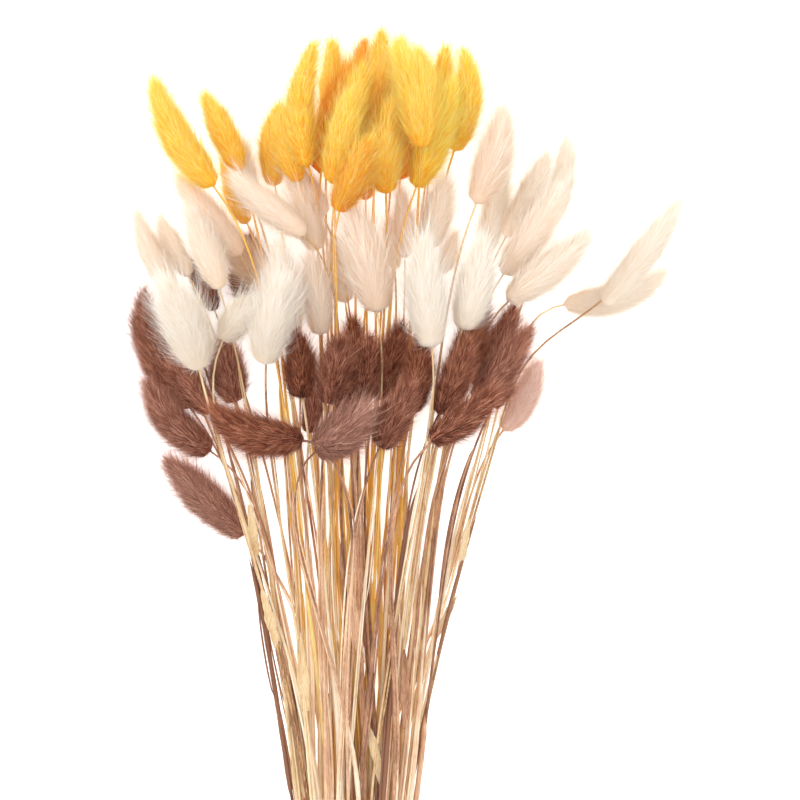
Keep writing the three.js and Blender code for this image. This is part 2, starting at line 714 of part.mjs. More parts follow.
function solidFrom(geometry) {
  geometry.deleteAttribute('normal');
  geometry.deleteAttribute('uv');
  const merged = mergeVertices(geometry, WELD_REACH);
  return new Shell([...merged.attributes.position.array], [...merged.index.array]).solid();
}

// The tie's band: turns of twine side by side, swept round the waist of the bunch.
function bandSolid() {
  const pitch = 2 * TWINE_RADIUS;
  const half = pitch * TWINE_TURNS / 2;
  const inner = WAIST_HALF_WIDTH + GAP;
  const groove = inner + BAND_TOP * TWINE_GROOVE;
  const profile = [new THREE.Vector2(inner, -half)];
  for (let turn = 0; turn < TWINE_TURNS; turn += 1) {
    const y = -half + turn * pitch;
    profile.push(new THREE.Vector2(groove, y));
    profile.push(new THREE.Vector2(inner + BAND_TOP, y + pitch * TWINE_FLAT_FROM));
    profile.push(new THREE.Vector2(inner + BAND_TOP, y + pitch * (1 - TWINE_FLAT_FROM)));
  }
  profile.push(new THREE.Vector2(groove, half));
  profile.push(new THREE.Vector2(inner, half));
  profile.push(new THREE.Vector2(inner, -half));
  const band = new THREE.LatheGeometry(profile, BAND_STEPS, Math.PI / BAND_STEPS);
  const places = band.attributes.position;
  for (let at = 0; at < places.count; at += 1) {
    const x = places.getX(at);
    const z = places.getZ(at);
    const reach = Math.hypot(x, z);
    const lower = reach - WAIST_HALF_WIDTH + WAIST_HALF_HEIGHT;
    places.setXYZ(at, x, places.getY(at) + TIE_Y, WAIST_Z + z / reach * lower);
  }
  return solidFrom(band);
}

function tailSolid(points) {
  const curve = new THREE.CatmullRomCurve3(points);
  const shell = new Shell();
  const rings = Array.from({ length: TAIL_STEPS + 1 }, (unused, step) => {
    const share = step / TAIL_STEPS;
    return shell.ring(
      curve.getPoint(share), curve.getTangent(share), () => TAIL_RADIUS, TAIL_SIDES, 0);
  });
  shell.cap(rings[0], false);
  shell.bridgeAll(rings);
  shell.cap(rings[TAIL_STEPS], true);
  return shell.solid();
}

// The band, its knot on top and the two loose ends, which lie over the stems below the tie.
function tieSolid() {
  const top = WAIST_Z + WAIST_HALF_HEIGHT + GAP + BAND_TOP;
  const centre = new THREE.Vector3(KNOT_ACROSS, TIE_Y, top + KNOT_LIFT);
  const ball = new THREE.IcosahedronGeometry(1, 1);
  ball.scale(KNOT_SIZE.x, KNOT_SIZE.y, KNOT_SIZE.z).translate(centre.x, centre.y, centre.z);
  const tails = [LEFT_TAIL, RIGHT_TAIL].map((tail) => tailSolid(
    [centre, ...tail.map((offset) => centre.clone().add(new THREE.Vector3(...offset)))]));
  return wasm.Manifold.union([bandSolid(), solidFrom(ball), ...tails]);
}

function meshFrom(solid, name, { colour, roughness }) {
  const { vertProperties, triVerts } = solid.getMesh();
  const geometry = new THREE.BufferGeometry();
  geometry.setAttribute('position', new THREE.BufferAttribute(new Float32Array(vertProperties), 3));
  geometry.setIndex([...triVerts]);
  geometry.computeVertexNormals();
  const material = new THREE.MeshStandardMaterial({ color: colour, roughness, metalness: 0 });
  const mesh = new THREE.Mesh(geometry, material);
  mesh.name = name;
  return mesh;
}

// One node for each stalk, or for the two that grow together, with the leaf blades they bear.
function stalkMeshes(stalks, name, look) {
  const done = new Set();
  const meshes = [];
  for (const stalk of stalks.filter((one) => one.name === name)) {
    if (done.has(stalk)) continue;
    done.add(stalk.partner);
    const together = stalk.partner ? [stalk, stalk.partner] : [stalk];
    const solids = together.map(stalkSolid);
    const blades = together.filter((one) => one.leaf).map((one) => leafSolid(one.leaf));
    const number = String(meshes.length + 1).padStart(2, '0');
    const kind = stalk.partner ? 'pair' : 'stalk';
    const fused = wasm.Manifold.union([...solids, ...blades]);
    meshes.push(meshFrom(fused, `${name}_${kind}_${number}`, look));
  }
  return meshes;
}

seededRandom(TUFT_SEED);
const stalks = makeStalks();
giveSlots(stalks);
joinPairs(stalks);
stalks.forEach(stalkNodes);
settle(stalks, LEAVES.map((leaf) => makeLeaf(stalks, leaf)));

const bunch = new THREE.Group();
for (const [name, look] of Object.entries(COLOURS)) bunch.add(...stalkMeshes(stalks, name, look));
bunch.add(meshFrom(tieSolid(), 'twine_tie', TWINE_COLOUR));

const middle = new THREE.Box3().setFromObject(bunch).getCenter(new THREE.Vector3());
bunch.children.forEach((mesh) => mesh.geometry.translate(-middle.x, -middle.y, 0));

export default bunch;
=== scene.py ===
# %% [markdown]
# # A bunch of dried bunny tail grass
#
# Bunny tail grass carries one soft, egg-shaped head on each thin straw. This bunch has
# about eighty of them, dyed yellow, left cream and dyed brown, and a twine holds the
# straws together. It lies on a table, and the camera looks straight down on it.
#
# The packed model has every straw with its head as a plain faceted solid. This lesson
# keeps each one in its place and makes what the solids leave out: thousands of bristles
# on each head, thin round straws with papery sheaths, veined leaf blades and a twine
# with three plies.

# %% Load the frame
import math

import bpy
import numpy as np
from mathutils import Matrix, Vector


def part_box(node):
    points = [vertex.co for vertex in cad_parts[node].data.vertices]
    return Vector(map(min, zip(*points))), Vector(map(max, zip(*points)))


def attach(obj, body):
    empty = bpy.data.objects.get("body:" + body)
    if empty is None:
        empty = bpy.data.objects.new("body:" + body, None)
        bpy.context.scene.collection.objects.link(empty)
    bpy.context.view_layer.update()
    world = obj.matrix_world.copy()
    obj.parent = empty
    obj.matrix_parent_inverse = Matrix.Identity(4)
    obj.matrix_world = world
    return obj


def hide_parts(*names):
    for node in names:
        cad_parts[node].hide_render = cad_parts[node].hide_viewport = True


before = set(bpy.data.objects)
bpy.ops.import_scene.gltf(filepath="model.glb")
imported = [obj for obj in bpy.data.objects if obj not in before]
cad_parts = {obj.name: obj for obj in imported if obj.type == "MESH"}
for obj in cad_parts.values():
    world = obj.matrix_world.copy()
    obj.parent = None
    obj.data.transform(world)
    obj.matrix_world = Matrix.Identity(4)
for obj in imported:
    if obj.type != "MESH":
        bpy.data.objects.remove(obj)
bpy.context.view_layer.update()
MM = 0.001
TIE_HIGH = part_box("twine_tie")[1]
print("nodes:", len(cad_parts))

# %% [markdown]
# ## A small bench for node trees
#
# Both the shapes and the finishes are built from nodes. Long chains of nodes are hard to
# read, so a small class wraps a socket and lets Python's own + - * / add the Math nodes.
# Everything else goes through one method, which sets a node's settings first and its
# sockets afterwards, because some sockets only appear once a setting is chosen.

# %% A wire
class Wire:
    """The output of a node. Arithmetic on it adds Math nodes."""

    def __init__(self, bench, socket):
        self.bench = bench
        self.socket = socket

    def out(self, name):
        return Wire(self.bench, self.socket.node.outputs[name])

    def __add__(self, other):
        return self.bench.maths("ADD", self, other)

    def __sub__(self, other):
        return self.bench.maths("SUBTRACT", self, other)

    def __mul__(self, other):
        return self.bench.maths("MULTIPLY", self, other)

    def __truediv__(self, other):
        return self.bench.maths("DIVIDE", self, other)

    def __rsub__(self, other):
        return self.bench.maths("SUBTRACT", other, self)

    def __rtruediv__(self, other):
        return self.bench.maths("DIVIDE", other, self)

    __radd__ = __add__
    __rmul__ = __mul__


print("a wire takes + - * / with a wire or a number on either side")


# %% The bench
class Bench:
    """A node tree under construction."""

    def __init__(self, tree):
        self.tree = tree

    def node(self, kind, sockets=None, **settings):
        made = self.tree.nodes.new(kind)
        for name, value in settings.items():
            if name == "stops":
                self.set_stops(made.color_ramp, value)
            else:
                setattr(made, name, value)
        for key, value in (sockets or {}).items():
            self.plug(made, key, value)
        shown = [socket for socket in made.outputs if socket.enabled]
        return Wire(self, shown[0]) if shown else made

    def plug(self, made, key, value):
        socket = made.inputs[key] if isinstance(key, int) else next(
            one for one in made.inputs if one.name == key and one.enabled)
        if isinstance(value, Wire):
            self.tree.links.new(value.socket, socket)
        else:
            socket.default_value = value

    def set_stops(self, ramp, stops):
        while len(ramp.elements) < len(stops):
            ramp.elements.new(0.5)
        for element, (place, colour) in zip(ramp.elements, stops):
            element.position = place
            element.color = colour

    def maths(self, operation, one, other=0.0):
        return self.node("ShaderNodeMath", {0: one, 1: other}, operation=operation)

    def clamped(self, value, low=0.0, high=1.0):
        return self.node("ShaderNodeClamp", {"Value": value, "Min": low, "Max": high})

    def vector(self, operation, one, other=None):
        sockets = {0: one} if other is None else {0: one, 1: other}
        return self.node("ShaderNodeVectorMath", sockets, operation=operation)

    def scaled(self, vector, by):
        return self.node("ShaderNodeVectorMath", {"Vector": vector, "Scale": by}, operation="SCALE")

    def joined(self, x, y, z):
        return self.node("ShaderNodeCombineXYZ", {"X": x, "Y": y, "Z": z})

    def blend(self, share, one, other):
        """A colour that goes from one to the other."""
        return self.node("ShaderNodeMix", {"Factor": share, "A": one, "B": other}, data_type="RGBA")

    def ramp(self, value, stops):
        return self.node("ShaderNodeValToRGB", {"Fac": value}, stops=stops)

    def noise(self, place, scale, detail=1.0):
        return self.node("ShaderNodeTexNoise", {"Vector": place, "Scale": scale, "Detail": detail})

    def apart(self, vector):
        """A vector's x, with its y and z as further outputs."""
        return self.node("ShaderNodeSeparateXYZ", {"Vector": vector})

    def read(self, name, kind="FLOAT"):
        """An attribute of the mesh, inside a geometry tree."""
        return self.node("GeometryNodeInputNamedAttribute", {"Name": name}, data_type=kind)

    def attribute(self, name):
        """An attribute of the mesh, inside a finish."""
        return self.node("ShaderNodeAttribute", attribute_name=name).out("Fac")

    def keep(self, geometry, name, value, kind="FLOAT", domain="POINT"):
        """Writes a value on a geometry under a name."""
        return self.node("GeometryNodeStoreNamedAttribute",
                         {"Geometry": geometry, "Name": name, "Value": value}, data_type=kind, domain=domain)

    def together(self, parts):
        """Several geometries as one."""
        whole = self.node("GeometryNodeJoinGeometry")
        for part in parts:
            self.tree.links.new(part.socket, whole.socket.node.inputs[0])
        return whole

    def real(self, geometry):
        return self.node("GeometryNodeRealizeInstances", {"Geometry": geometry})

    def any_number(self, low, high, seed):
        return self.node("FunctionNodeRandomValue", {"Min": low, "Max": high, "Seed": seed})

    def any_way(self, seed):
        return self.node("FunctionNodeRandomValue",
                         {"Min": (-1, -1, -1), "Max": (1, 1, 1), "Seed": seed}, data_type="FLOAT_VECTOR")


print("bench:", ", ".join(name for name in vars(Bench) if not name.startswith("_")))

# %% What the geometry trees share
SEAM = 0.002 * MM


def new_tree(name, inputs):
    """A bench for a tree with these inputs, a function that gives each, and the lines it grows on."""
    tree = bpy.data.node_groups.new(name, "GeometryNodeTree")
    for side in ("OUTPUT", "INPUT"):
        tree.interface.new_socket(name="Geometry", in_out=side, socket_type="NodeSocketGeometry")
    tree.interface.new_socket(name="Finish", in_out="INPUT", socket_type="NodeSocketMaterial")
    for socket_name, value in inputs.items():
        kind = "NodeSocketInt" if isinstance(value, int) else "NodeSocketFloat"
        socket = tree.interface.new_socket(name=socket_name, in_out="INPUT", socket_type=kind)
        socket.default_value = value
    bench = Bench(tree)
    given = bench.node("NodeGroupInput").out
    return bench, given, bench.node("GeometryNodeMeshToCurve", {"Mesh": given("Geometry")})


def tube(bench, line, sides, girth, height):
    """Sweeps a ring along a line, maps it into its lane at this height, and closes the seam."""
    arc = bench.node("GeometryNodeCurveArc", {"Resolution": sides, "Sweep Angle": 2 * math.pi})
    ring = bench.keep(arc, "around", bench.node("GeometryNodeSplineParameter"))
    skin = bench.node("GeometryNodeCurveToMesh", {"Curve": line, "Profile Curve": ring, "Scale": girth})
    across = bench.read("lane") + bench.read("around") * bench.read("lane_width")
    mapped = bench.keep(skin, "OFBake", bench.joined(across, height, 0.0), "FLOAT2", "CORNER")
    return bench.node("GeometryNodeMergeByDistance", {"Geometry": mapped, "Distance": SEAM})


def strewn(bench, surface, density, seed):
    """Points on a surface at random, so many on a square metre."""
    return bench.node("GeometryNodeDistributePointsOnFaces",
                      {"Mesh": surface, "Density": density, "Seed": seed})


def planted(bench, points, blade, way, facing, size):
    """A blade on each point, running this way and facing that one."""
    turn = bench.node("FunctionNodeAxesToRotation",
                      {"Primary Axis": way, "Secondary Axis": facing}, primary_axis="Y", secondary_axis="Z")
    thing = bench.node("GeometryNodeObjectInfo", {"Object": blade}).out("Geometry")
    placed = bench.node("GeometryNodeInstanceOnPoints",
                        {"Points": points, "Instance": thing, "Rotation": turn, "Scale": size})
    return bench.real(placed)


def end_tree(bench, given, geometry, least):
    """Lifts what would lie in the table onto it, and ends in Set Material and Realize Instances."""
    place = bench.apart(bench.node("GeometryNodeInputPosition"))
    lifted = bench.joined(place, place.out("Y"), bench.maths("MAXIMUM", place.out("Z"), least))
    above = bench.node("GeometryNodeSetPosition", {"Geometry": geometry, "Position": lifted})
    done = bench.node("GeometryNodeSetMaterial", {"Geometry": above, "Material": given("Finish")})
    bench.node("NodeGroupOutput", {0: bench.real(done)})
    return bench.tree


print("seams closer than", SEAM / MM, "mm are closed")


# %% From a tree to a plain object
def add_object(name, data):
    thing = bpy.data.objects.new(name, data)
    bpy.context.collection.objects.link(thing)
    return thing


def grown(name, mesh, tree, values):
    """Runs a tree on a mesh and returns the result as a plain object."""
    seed = add_object(name, mesh)
    modifier = seed.modifiers.new("grow", "NODES")
    modifier.node_group = tree
    keys = {item.name: item.identifier for item in tree.interface.items_tree if item.in_out == "INPUT"}
    for socket_name, value in values.items():
        modifier[keys[socket_name]] = value
    shaped = seed.evaluated_get(bpy.context.evaluated_depsgraph_get())
    plain = bpy.data.meshes.new_from_object(shaped)
    seed.modifiers.clear()
    seed.data = plain
    plain.name = name
    bpy.data.meshes.remove(mesh)
    return seed


def triangles_in(some):
    """How many triangles some pieces have in all."""
    return sum(face.loop_total - 2 for piece, node, slot in some for face in piece.data.polygons)


# %% [markdown]
# ## Finding every straw's centre line
#
# The solids already lie where the settled straws lie, so their centre lines are read
# back from the packed meshes and not placed again. A head's tip is the only corner where
# five edges meet and whose neighbours, step after step, come in rings of 5, 10, 10, 10,
# 10, 10, 5 and 3. Walking on from there passes the neck and then one ring after another
# down the straw. Where a leaf grows out of a straw the rings are cut, and there the walk
# goes on with level slices instead.

# %% Weld a packed mesh and walk it
MOST_LEVELS = 60
WELD = 1e-6


def welded(mesh):
    """The corners of a mesh with equal places merged, and each one's neighbours."""
    places = np.empty(len(mesh.vertices) * 3)
    mesh.vertices.foreach_get("co", places)
    places = places.reshape(-1, 3)
    keys = np.round(places / WELD).astype(np.int64)
    unique, where = np.unique(keys, axis=0, return_inverse=True)
    where = where.ravel()
    points = np.zeros((len(unique), 3))
    points[where] = places
    near = [set() for _ in unique]
    for face in mesh.polygons:
        corners = [int(where[at]) for at in face.vertices]
        for one, other in zip(corners, corners[1:] + corners[:1]):
            if one != other:
                near[one].add(other)
                near[other].add(one)
    return points, near


def levels_from(near, start):
    """Rings of corners, each a step further from the start."""
    levels = [[start]]
    seen = {start}
    while len(levels) < MOST_LEVELS:
        ring = sorted({one for at in levels[-1] for one in near[at]} - seen)
        if not ring:
            break
        seen.update(ring)
        levels.append(ring)
    return levels


walked, nearby = welded(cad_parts["cream_stalk_01"].data)
five_edges = [at for at, near in enumerate(nearby) if len(near) == 5]
print("a stalk's corners:", len(walked), "with five edges:", len(five_edges))

# %% Follow a straw past a leaf
SLICE = 7 * MM
SLICE_REACH = 2.2 * MM
LEAST_MET = 3
ROUNDS = 3


def eased(path, times):
    """Evens out a path in place, with its two ends kept."""
    for turn in range(times):
        path[1:-1] = (path[:-2] + 2 * path[1:-1] + path[2:]) / 4


def slices_down(points, near, line):
    """Follows a straw down to the tie by level slices, and evens out what they find."""
    edges = np.array([(a, b) for a in range(len(points)) for b in near[a] if b > a])
    ends = points[edges]
    whole = len(line)
    while line[-1][1] > TIE_HIGH[1]:
        back = line[-1] - line[-2]
        level = line[-1][1] - SLICE
        guess = line[-1] + back * (SLICE / max(-back[1], SLICE / 4))
        above = ends[:, 0, 1] - level
        below = ends[:, 1, 1] - level
        cut = ends[above * below < 0]
        share = ((level - cut[:, 0, 1]) / (cut[:, 1, 1] - cut[:, 0, 1]))[:, None]
        met = cut[:, 0] + (cut[:, 1] - cut[:, 0]) * share
        met = met[np.linalg.norm(met - guess, axis=1) < SLICE_REACH]
        found = met.mean(0) if len(met) >= LEAST_MET else guess
        line.append(np.array([found[0], level, found[2]]))
    path = np.array(line)
    eased(path[whole - 1:], ROUNDS)
    return list(path)


print("slices lie", SLICE / MM, "mm apart")

# %% Read every straw
HEAD_LEVELS = [1, 5, 10, 10, 10, 10, 10, 5, 3]
SOLID_SHARE = 0.76
FOOT = 2 * MM


def straws_of(name):
    """Each straw of a node: its head's rings and radii from the tip, and its line down to the cut."""
    points, near = welded(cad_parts[name].data)
    straws = []
    for tip in range(len(points)):
        if len(near[tip]) != 5:
            continue
        levels = levels_from(near, tip)
        if [len(ring) for ring in levels[:len(HEAD_LEVELS)]] != HEAD_LEVELS:
            continue
        centres = [points[tip]]
        radii = [0.0]
        for ring in levels[1:len(HEAD_LEVELS) - 1]:
            corners = [at for at in ring if len(near[at]) != 4] if len(ring) > 5 else ring
            centres.append(points[corners].mean(0))
            spokes = np.linalg.norm(points[corners] - centres[-1], axis=1)
            radii.append(spokes.mean() / SOLID_SHARE)
        line = []
        for ring in levels[len(HEAD_LEVELS) - 1:]:
            if len(ring) != 3:
                line = slices_down(points, near, line)
                break
            line.append(points[ring].mean(0))
            if line[-1][1] < TIE_HIGH[1]:
                break
        straws.append({"head": np.array(centres), "radii": np.array(radii), "line": line})
    low = points[points[:, 1] < points[:, 1].min() + FOOT].mean(0)
    for straw in straws:
        end = (straw["line"][-1] + low) / 2 if len(straws) > 1 else low.copy()
        end[1] = points[:, 1].min()
        straw["line"].append(end)
    return straws, points


FAMILIES = ("yellow", "cream", "brown")
stalks = {name: straws_of(name) for name in sorted(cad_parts) if name.startswith(FAMILIES)}
print("straws:", sum(len(straws) for straws, points in stalks.values()))


# %% Smooth lines through the rings
STEPS_A_SPAN = 12


def along_of(path):
    """How far along the path each of its points is."""
    return np.concatenate([[0], np.cumsum(np.linalg.norm(np.diff(path, axis=0), axis=1))])


def at_even_steps(path, run, even):
    return np.stack([np.interp(even, run, path[:, axis]) for axis in range(3)], 1)


def smooth_line(points, count, extras=()):
    """A Catmull-Rom line through the points with even steps, and other values carried along it."""
    points = np.asarray(points)
    padded = np.vstack([2 * points[0] - points[1], points, 2 * points[-1] - points[-2]])
    fine = []
    shares = []
    for at in range(len(points) - 1):
        a, b, c, d = padded[at:at + 4]
        for step in np.linspace(0, 1, STEPS_A_SPAN, endpoint=False):
            fine.append(0.5 * (2 * b + (c - a) * step + (2 * a - 5 * b + 4 * c - d) * step ** 2
                               + (3 * b - a - 3 * c + d) * step ** 3))
            shares.append(at + step)
    fine.append(points[-1])
    shares.append(len(points) - 1)
    fine = np.array(fine)
    run = along_of(fine)
    even = np.linspace(0, run[-1], count)
    at_ring = np.interp(even, run, shares)
    carried = [np.interp(at_ring, np.arange(len(values)), values) for values in extras]
    return at_even_steps(fine, run, even), even, carried


lengths = [along_of(np.array(straw["line"]))[-1] for straws, points in stalks.values() for straw in straws]
print("straws below their heads are", round(min(lengths) / MM), "to", round(max(lengths) / MM), "mm long")


# %% Lines as meshes
def add_values(mesh, values):
    """Writes numbers on the corners of a mesh under each name: one for all, or one for each."""
    for key, numbers in values.items():
        filled = np.full(len(mesh.vertices), numbers, dtype=np.float32)
        mesh.attributes.new(key, "FLOAT", "POINT").data.foreach_set("value", filled)


def line_mesh(lines):
    """A mesh of open lines. Each line is its points and a dict of values for each point."""
    points = []
    edges = []
    values = {}
    for line, extras in lines:
        start = len(points)
        points.extend(line)
        edges.extend((at, at + 1) for at in range(start, start + len(line) - 1))
        for key, numbers in extras.items():
            values.setdefault(key, []).extend(np.broadcast_to(numbers, len(line)))
    mesh = bpy.data.meshes.new("lines")
    mesh.from_pydata(points, edges, [])
    add_values(mesh, values)
    return mesh


print("a line's values go on its points, so a tree can read them by name")


# %% [markdown]
# ## The heads
#
# A real head is a dense spike of spikelets, each with a bristle, and what shows is only
# the fur of all the bristles. Hair curves would be the usual way, but the export drops
# them, so every bristle is a sliver of real mesh. Two kinds are mixed: short fluff of one
# triangle each, which covers the core, and longer bent awns that break the outline. Both
# are scattered by Geometry Nodes over a core that the same tree sweeps along the head's
# line, and both lean towards the tip. Each head has a lane of the UV map. A bristle is a
# narrow strip in it, placed by its lot, with its root at the bottom and its tip on top.

# %% The two slivers
def sliver(name, places, faces):
    """A tiny blade from y = 0 to y = 1 that faces up, with its UV map."""
    mesh = bpy.data.meshes.new(name)
    mesh.from_pydata(places, [], faces)
    flat = mesh.uv_layers.new(name="Sliver")
    for corner in mesh.loops:
        x, y, z = places[corner.vertex_index]
        flat.data[corner.index].uv = (0.5 + x, y)
    return bpy.data.objects.new(name, mesh)


FLUFF = sliver("fluff", [(-0.5, 0, 0), (0.5, 0, 0), (0, 1, 0)], [(0, 1, 2)])
AWN = sliver("awn", [(-0.5, 0, 0), (0.5, 0, 0), (0.4, 0.5, 0.07), (-0.4, 0.5, 0.07), (0, 1, 0)],
             [(0, 1, 2, 3), (3, 2, 4)])
print("a fluff has 1 triangle, an awn 3")


# %% Bristles over a core
FUR_BOTTOM = 0.31
FUR_SPAN = 0.68
FUR_UV_WIDTH = 0.02
LENGTH_SPREAD = (0.6, 1.3)
WIDTH_SPREAD = (0.7, 1.3)
FACING_SPREAD = 0.45
BASE_LIFT = 0.25
NECK_LIFT = 0.3
NECK_SHARPNESS = 8.0
SHORTEST = 0.45
SHORT_RISE = 4.5
BASE_GROWTH = 0.85
TIP_GROWTH = 0.45
TUFTS_PER_METRE = 230.0
TUFT_CONTRAST = 2.8
LOT_SPREAD = (0.32, 0.68)
LOT_RANGE = (0.02, 0.98)


def scatter(bench, core, blade, density, length, width, lean, stray, seed):
    """Bristles over a core, short at the neck and more upright at the base."""
    share = bench.read("share")
    points = strewn(bench, core, density, seed)
    normal = points.out("Normal")
    from_tip = 1 - share
    at_neck = bench.maths("POWER", from_tip, NECK_SHARPNESS)
    outwards = lean + from_tip * BASE_LIFT + at_neck * NECK_LIFT
    leaning = bench.vector("ADD", bench.read("flow", "FLOAT_VECTOR"), bench.scaled(normal, outwards))
    way = bench.vector("ADD", leaning, bench.scaled(bench.any_way(seed + 1), stray))
    facing = bench.vector("ADD", normal, bench.scaled(bench.any_way(seed + 2), FACING_SPREAD))
    grown_out = bench.clamped(share * SHORT_RISE + SHORTEST) * (BASE_GROWTH + share * TIP_GROWTH)
    long = bench.read("body") * length * bench.any_number(*LENGTH_SPREAD, seed + 3) * grown_out
    wide = width * bench.any_number(*WIDTH_SPREAD, seed + 4)
    tuft = bench.noise(bench.node("GeometryNodeInputPosition"), TUFTS_PER_METRE, 2.0)
    lot = bench.clamped((tuft - 0.5) * TUFT_CONTRAST + bench.any_number(*LOT_SPREAD, seed + 5), *LOT_RANGE)
    kept = bench.keep(points, "lot", bench.read("lane") + lot * bench.read("lane_width"))
    fur = planted(bench, kept, blade, way, facing, bench.joined(wide, long, long))
    flat = bench.apart(bench.read("Sliver", "FLOAT_VECTOR"))
    across = bench.read("lot") + (flat - 0.5) * FUR_UV_WIDTH * bench.read("lane_width")
    height = flat.out("Y") * FUR_SPAN + FUR_BOTTOM
    return bench.keep(fur, "OFBake", bench.joined(across, height, 0.0), "FLOAT2", "CORNER")


print("tufts are about", round(1 / TUFTS_PER_METRE / MM, 1), "mm wide")

# %% The tree that grows a head
CORE_BOTTOM = 0.02
CORE_SPAN = 0.26
LUMPS_PER_METRE = 130.0
AWN_LEAN = 0.1
AWN_STRAY = 1.4
AWN_SEED = 50
HEAD_LEAST_Z = 0.3 * MM


def head_tree():
    bench, given, line = new_tree("bunny tail head", {
        "Core share": 0.73,
        "Fluff per square metre": 6.2e6,
        "Awns per square metre": 8.5e5,
        "Fluff length": 0.95,
        "Awn length": 1.5,
        "Fluff width": 0.14 * MM,
        "Awn width": 0.15 * MM,
        "Lumps": 0.9 * MM,
        "Lean": 0.3,
        "Stray": 0.2,
        "Seed": 1,
        "Sides": 13,
    })
    flowing = bench.keep(line, "flow", bench.node("GeometryNodeInputTangent"), "FLOAT_VECTOR")
    smooth = tube(bench, flowing, given("Sides"), bench.read("girth") * given("Core share"),
                  bench.read("share") * CORE_SPAN + CORE_BOTTOM)
    swell = (bench.noise(bench.node("GeometryNodeInputPosition"), LUMPS_PER_METRE) - 0.5) * 2.0
    bulge = bench.scaled(bench.node("GeometryNodeInputNormal"), swell * given("Lumps"))
    core = bench.node("GeometryNodeSetPosition", {"Geometry": smooth, "Offset": bulge})
    fluff = scatter(bench, core, FLUFF, given("Fluff per square metre"), given("Fluff length"),
                    given("Fluff width"), given("Lean"), given("Stray"), given("Seed"))
    awns = scatter(bench, core, AWN, given("Awns per square metre"), given("Awn length"),
                   given("Awn width"), given("Lean") + AWN_LEAN, given("Stray") * AWN_STRAY,
                   given("Seed") + AWN_SEED)
    return end_tree(bench, given, bench.together((awns, fluff, core)), HEAD_LEAST_Z)


HEAD_TREE = head_tree()
print("head tree:", len(HEAD_TREE.nodes), "nodes")

# %% [markdown]
# ## The dyed finishes
#
# The fur of a dyed head isn't one colour. It is darker at the roots and lighter at the
# tips: partly the dye, which sinks in at the roots and bleaches at the tips, and partly
# painted shade at the roots, where the bristles shade one another, and a painted highlight
# on the tips. Tufts take the dye up differently as well. The UV map gives both, since its
# height runs from root to tip and its width sorts the bristles into lots. Each head also
# has a tint, which a ramp turns into the shades seen in one family, such as white to tan
# for the cream heads. The sheen is a constant, as soft fibres catch light at their edges.


# %% Colours
def linear(value):
    """A channel as a screen has it, from 0 to 255, made linear."""
    value = value / 255
    return value / 12.92 if value <= 0.04045 else ((value + 0.055) / 1.055) ** 2.4


def colour(red, green, blue):
    return (linear(red), linear(green), linear(blue), 1.0)


def shades(*stops):
    """Stops of a ramp, each given as its place and its three channels."""
    return [(stop[0], colour(*stop[1:])) for stop in stops]


print("half of 255 on a screen is", round(linear(127.5), 2), "of the light of white")


# %% How a finish starts and ends
def new_finish(name):
    finish = bpy.data.materials.new(name)
    finish.use_nodes = True
    finish.node_tree.nodes.clear()
    return finish, Bench(finish.node_tree)


def end_finish(bench, base, rough, bump=None, **constants):
    """A Principled shader with a varying colour and roughness, and constants on its own sockets."""
    sockets = {"Base Color": base, "Roughness": rough}
    if bump is not None:
        sockets["Normal"] = bump
    shader = bench.node("ShaderNodeBsdfPrincipled", sockets)
    for key, value in constants.items():
        shader.socket.node.inputs[key.replace("_", " ")].default_value = value
    bench.node("ShaderNodeOutputMaterial", {"Surface": shader})


print("finishes read attributes and the map OFBake, and end in a Principled shader")

# %% The fur finish
STREAKS = 180.0
PATCHES = 9.0
SHADE_START = 0.06
SHADE_SPAN = 0.9
ROUGH_SPREAD = 0.1


def fur_finish(name, roots, middles, tips, rough, contrast, patches, sheen, glow):
    """Roots, middles and tips are the stops of ramps over the tint."""
    finish, bench = new_finish(name)
    flat = bench.apart(bench.node("ShaderNodeUVMap", uv_map="OFBake"))
    along = bench.clamped((flat.out("Y") - FUR_BOTTOM) / FUR_SPAN)
    tint = bench.attribute("tint")
    lots = bench.node("ShaderNodeTexWhiteNoise",
                      {"W": bench.maths("FLOOR", flat * STREAKS)}, noise_dimensions="1D")
    slow = bench.node("ShaderNodeTexNoise",
                      {"W": flat, "Scale": PATCHES, "Detail": 1.0}, noise_dimensions="1D")
    uneven = (lots - 0.5) * contrast + (slow - 0.5) * patches
    # Dark roots are partly painted shade between the bristles, and light tips partly a painted highlight.
    place = bench.clamped(along * SHADE_SPAN + SHADE_START + uneven)
    low = bench.clamped(place * 2.0)
    high = bench.clamped(place * 2.0 - 1.0)
    base = bench.blend(high, bench.blend(low, bench.ramp(tint, roots), bench.ramp(tint, middles)),
                       bench.ramp(tint, tips))
    end_finish(bench, base, rough + lots * ROUGH_SPREAD, Sheen_Weight=sheen, Sheen_Roughness=0.4,
               Sheen_Tint=glow, Specular_IOR_Level=0.25)
    return finish
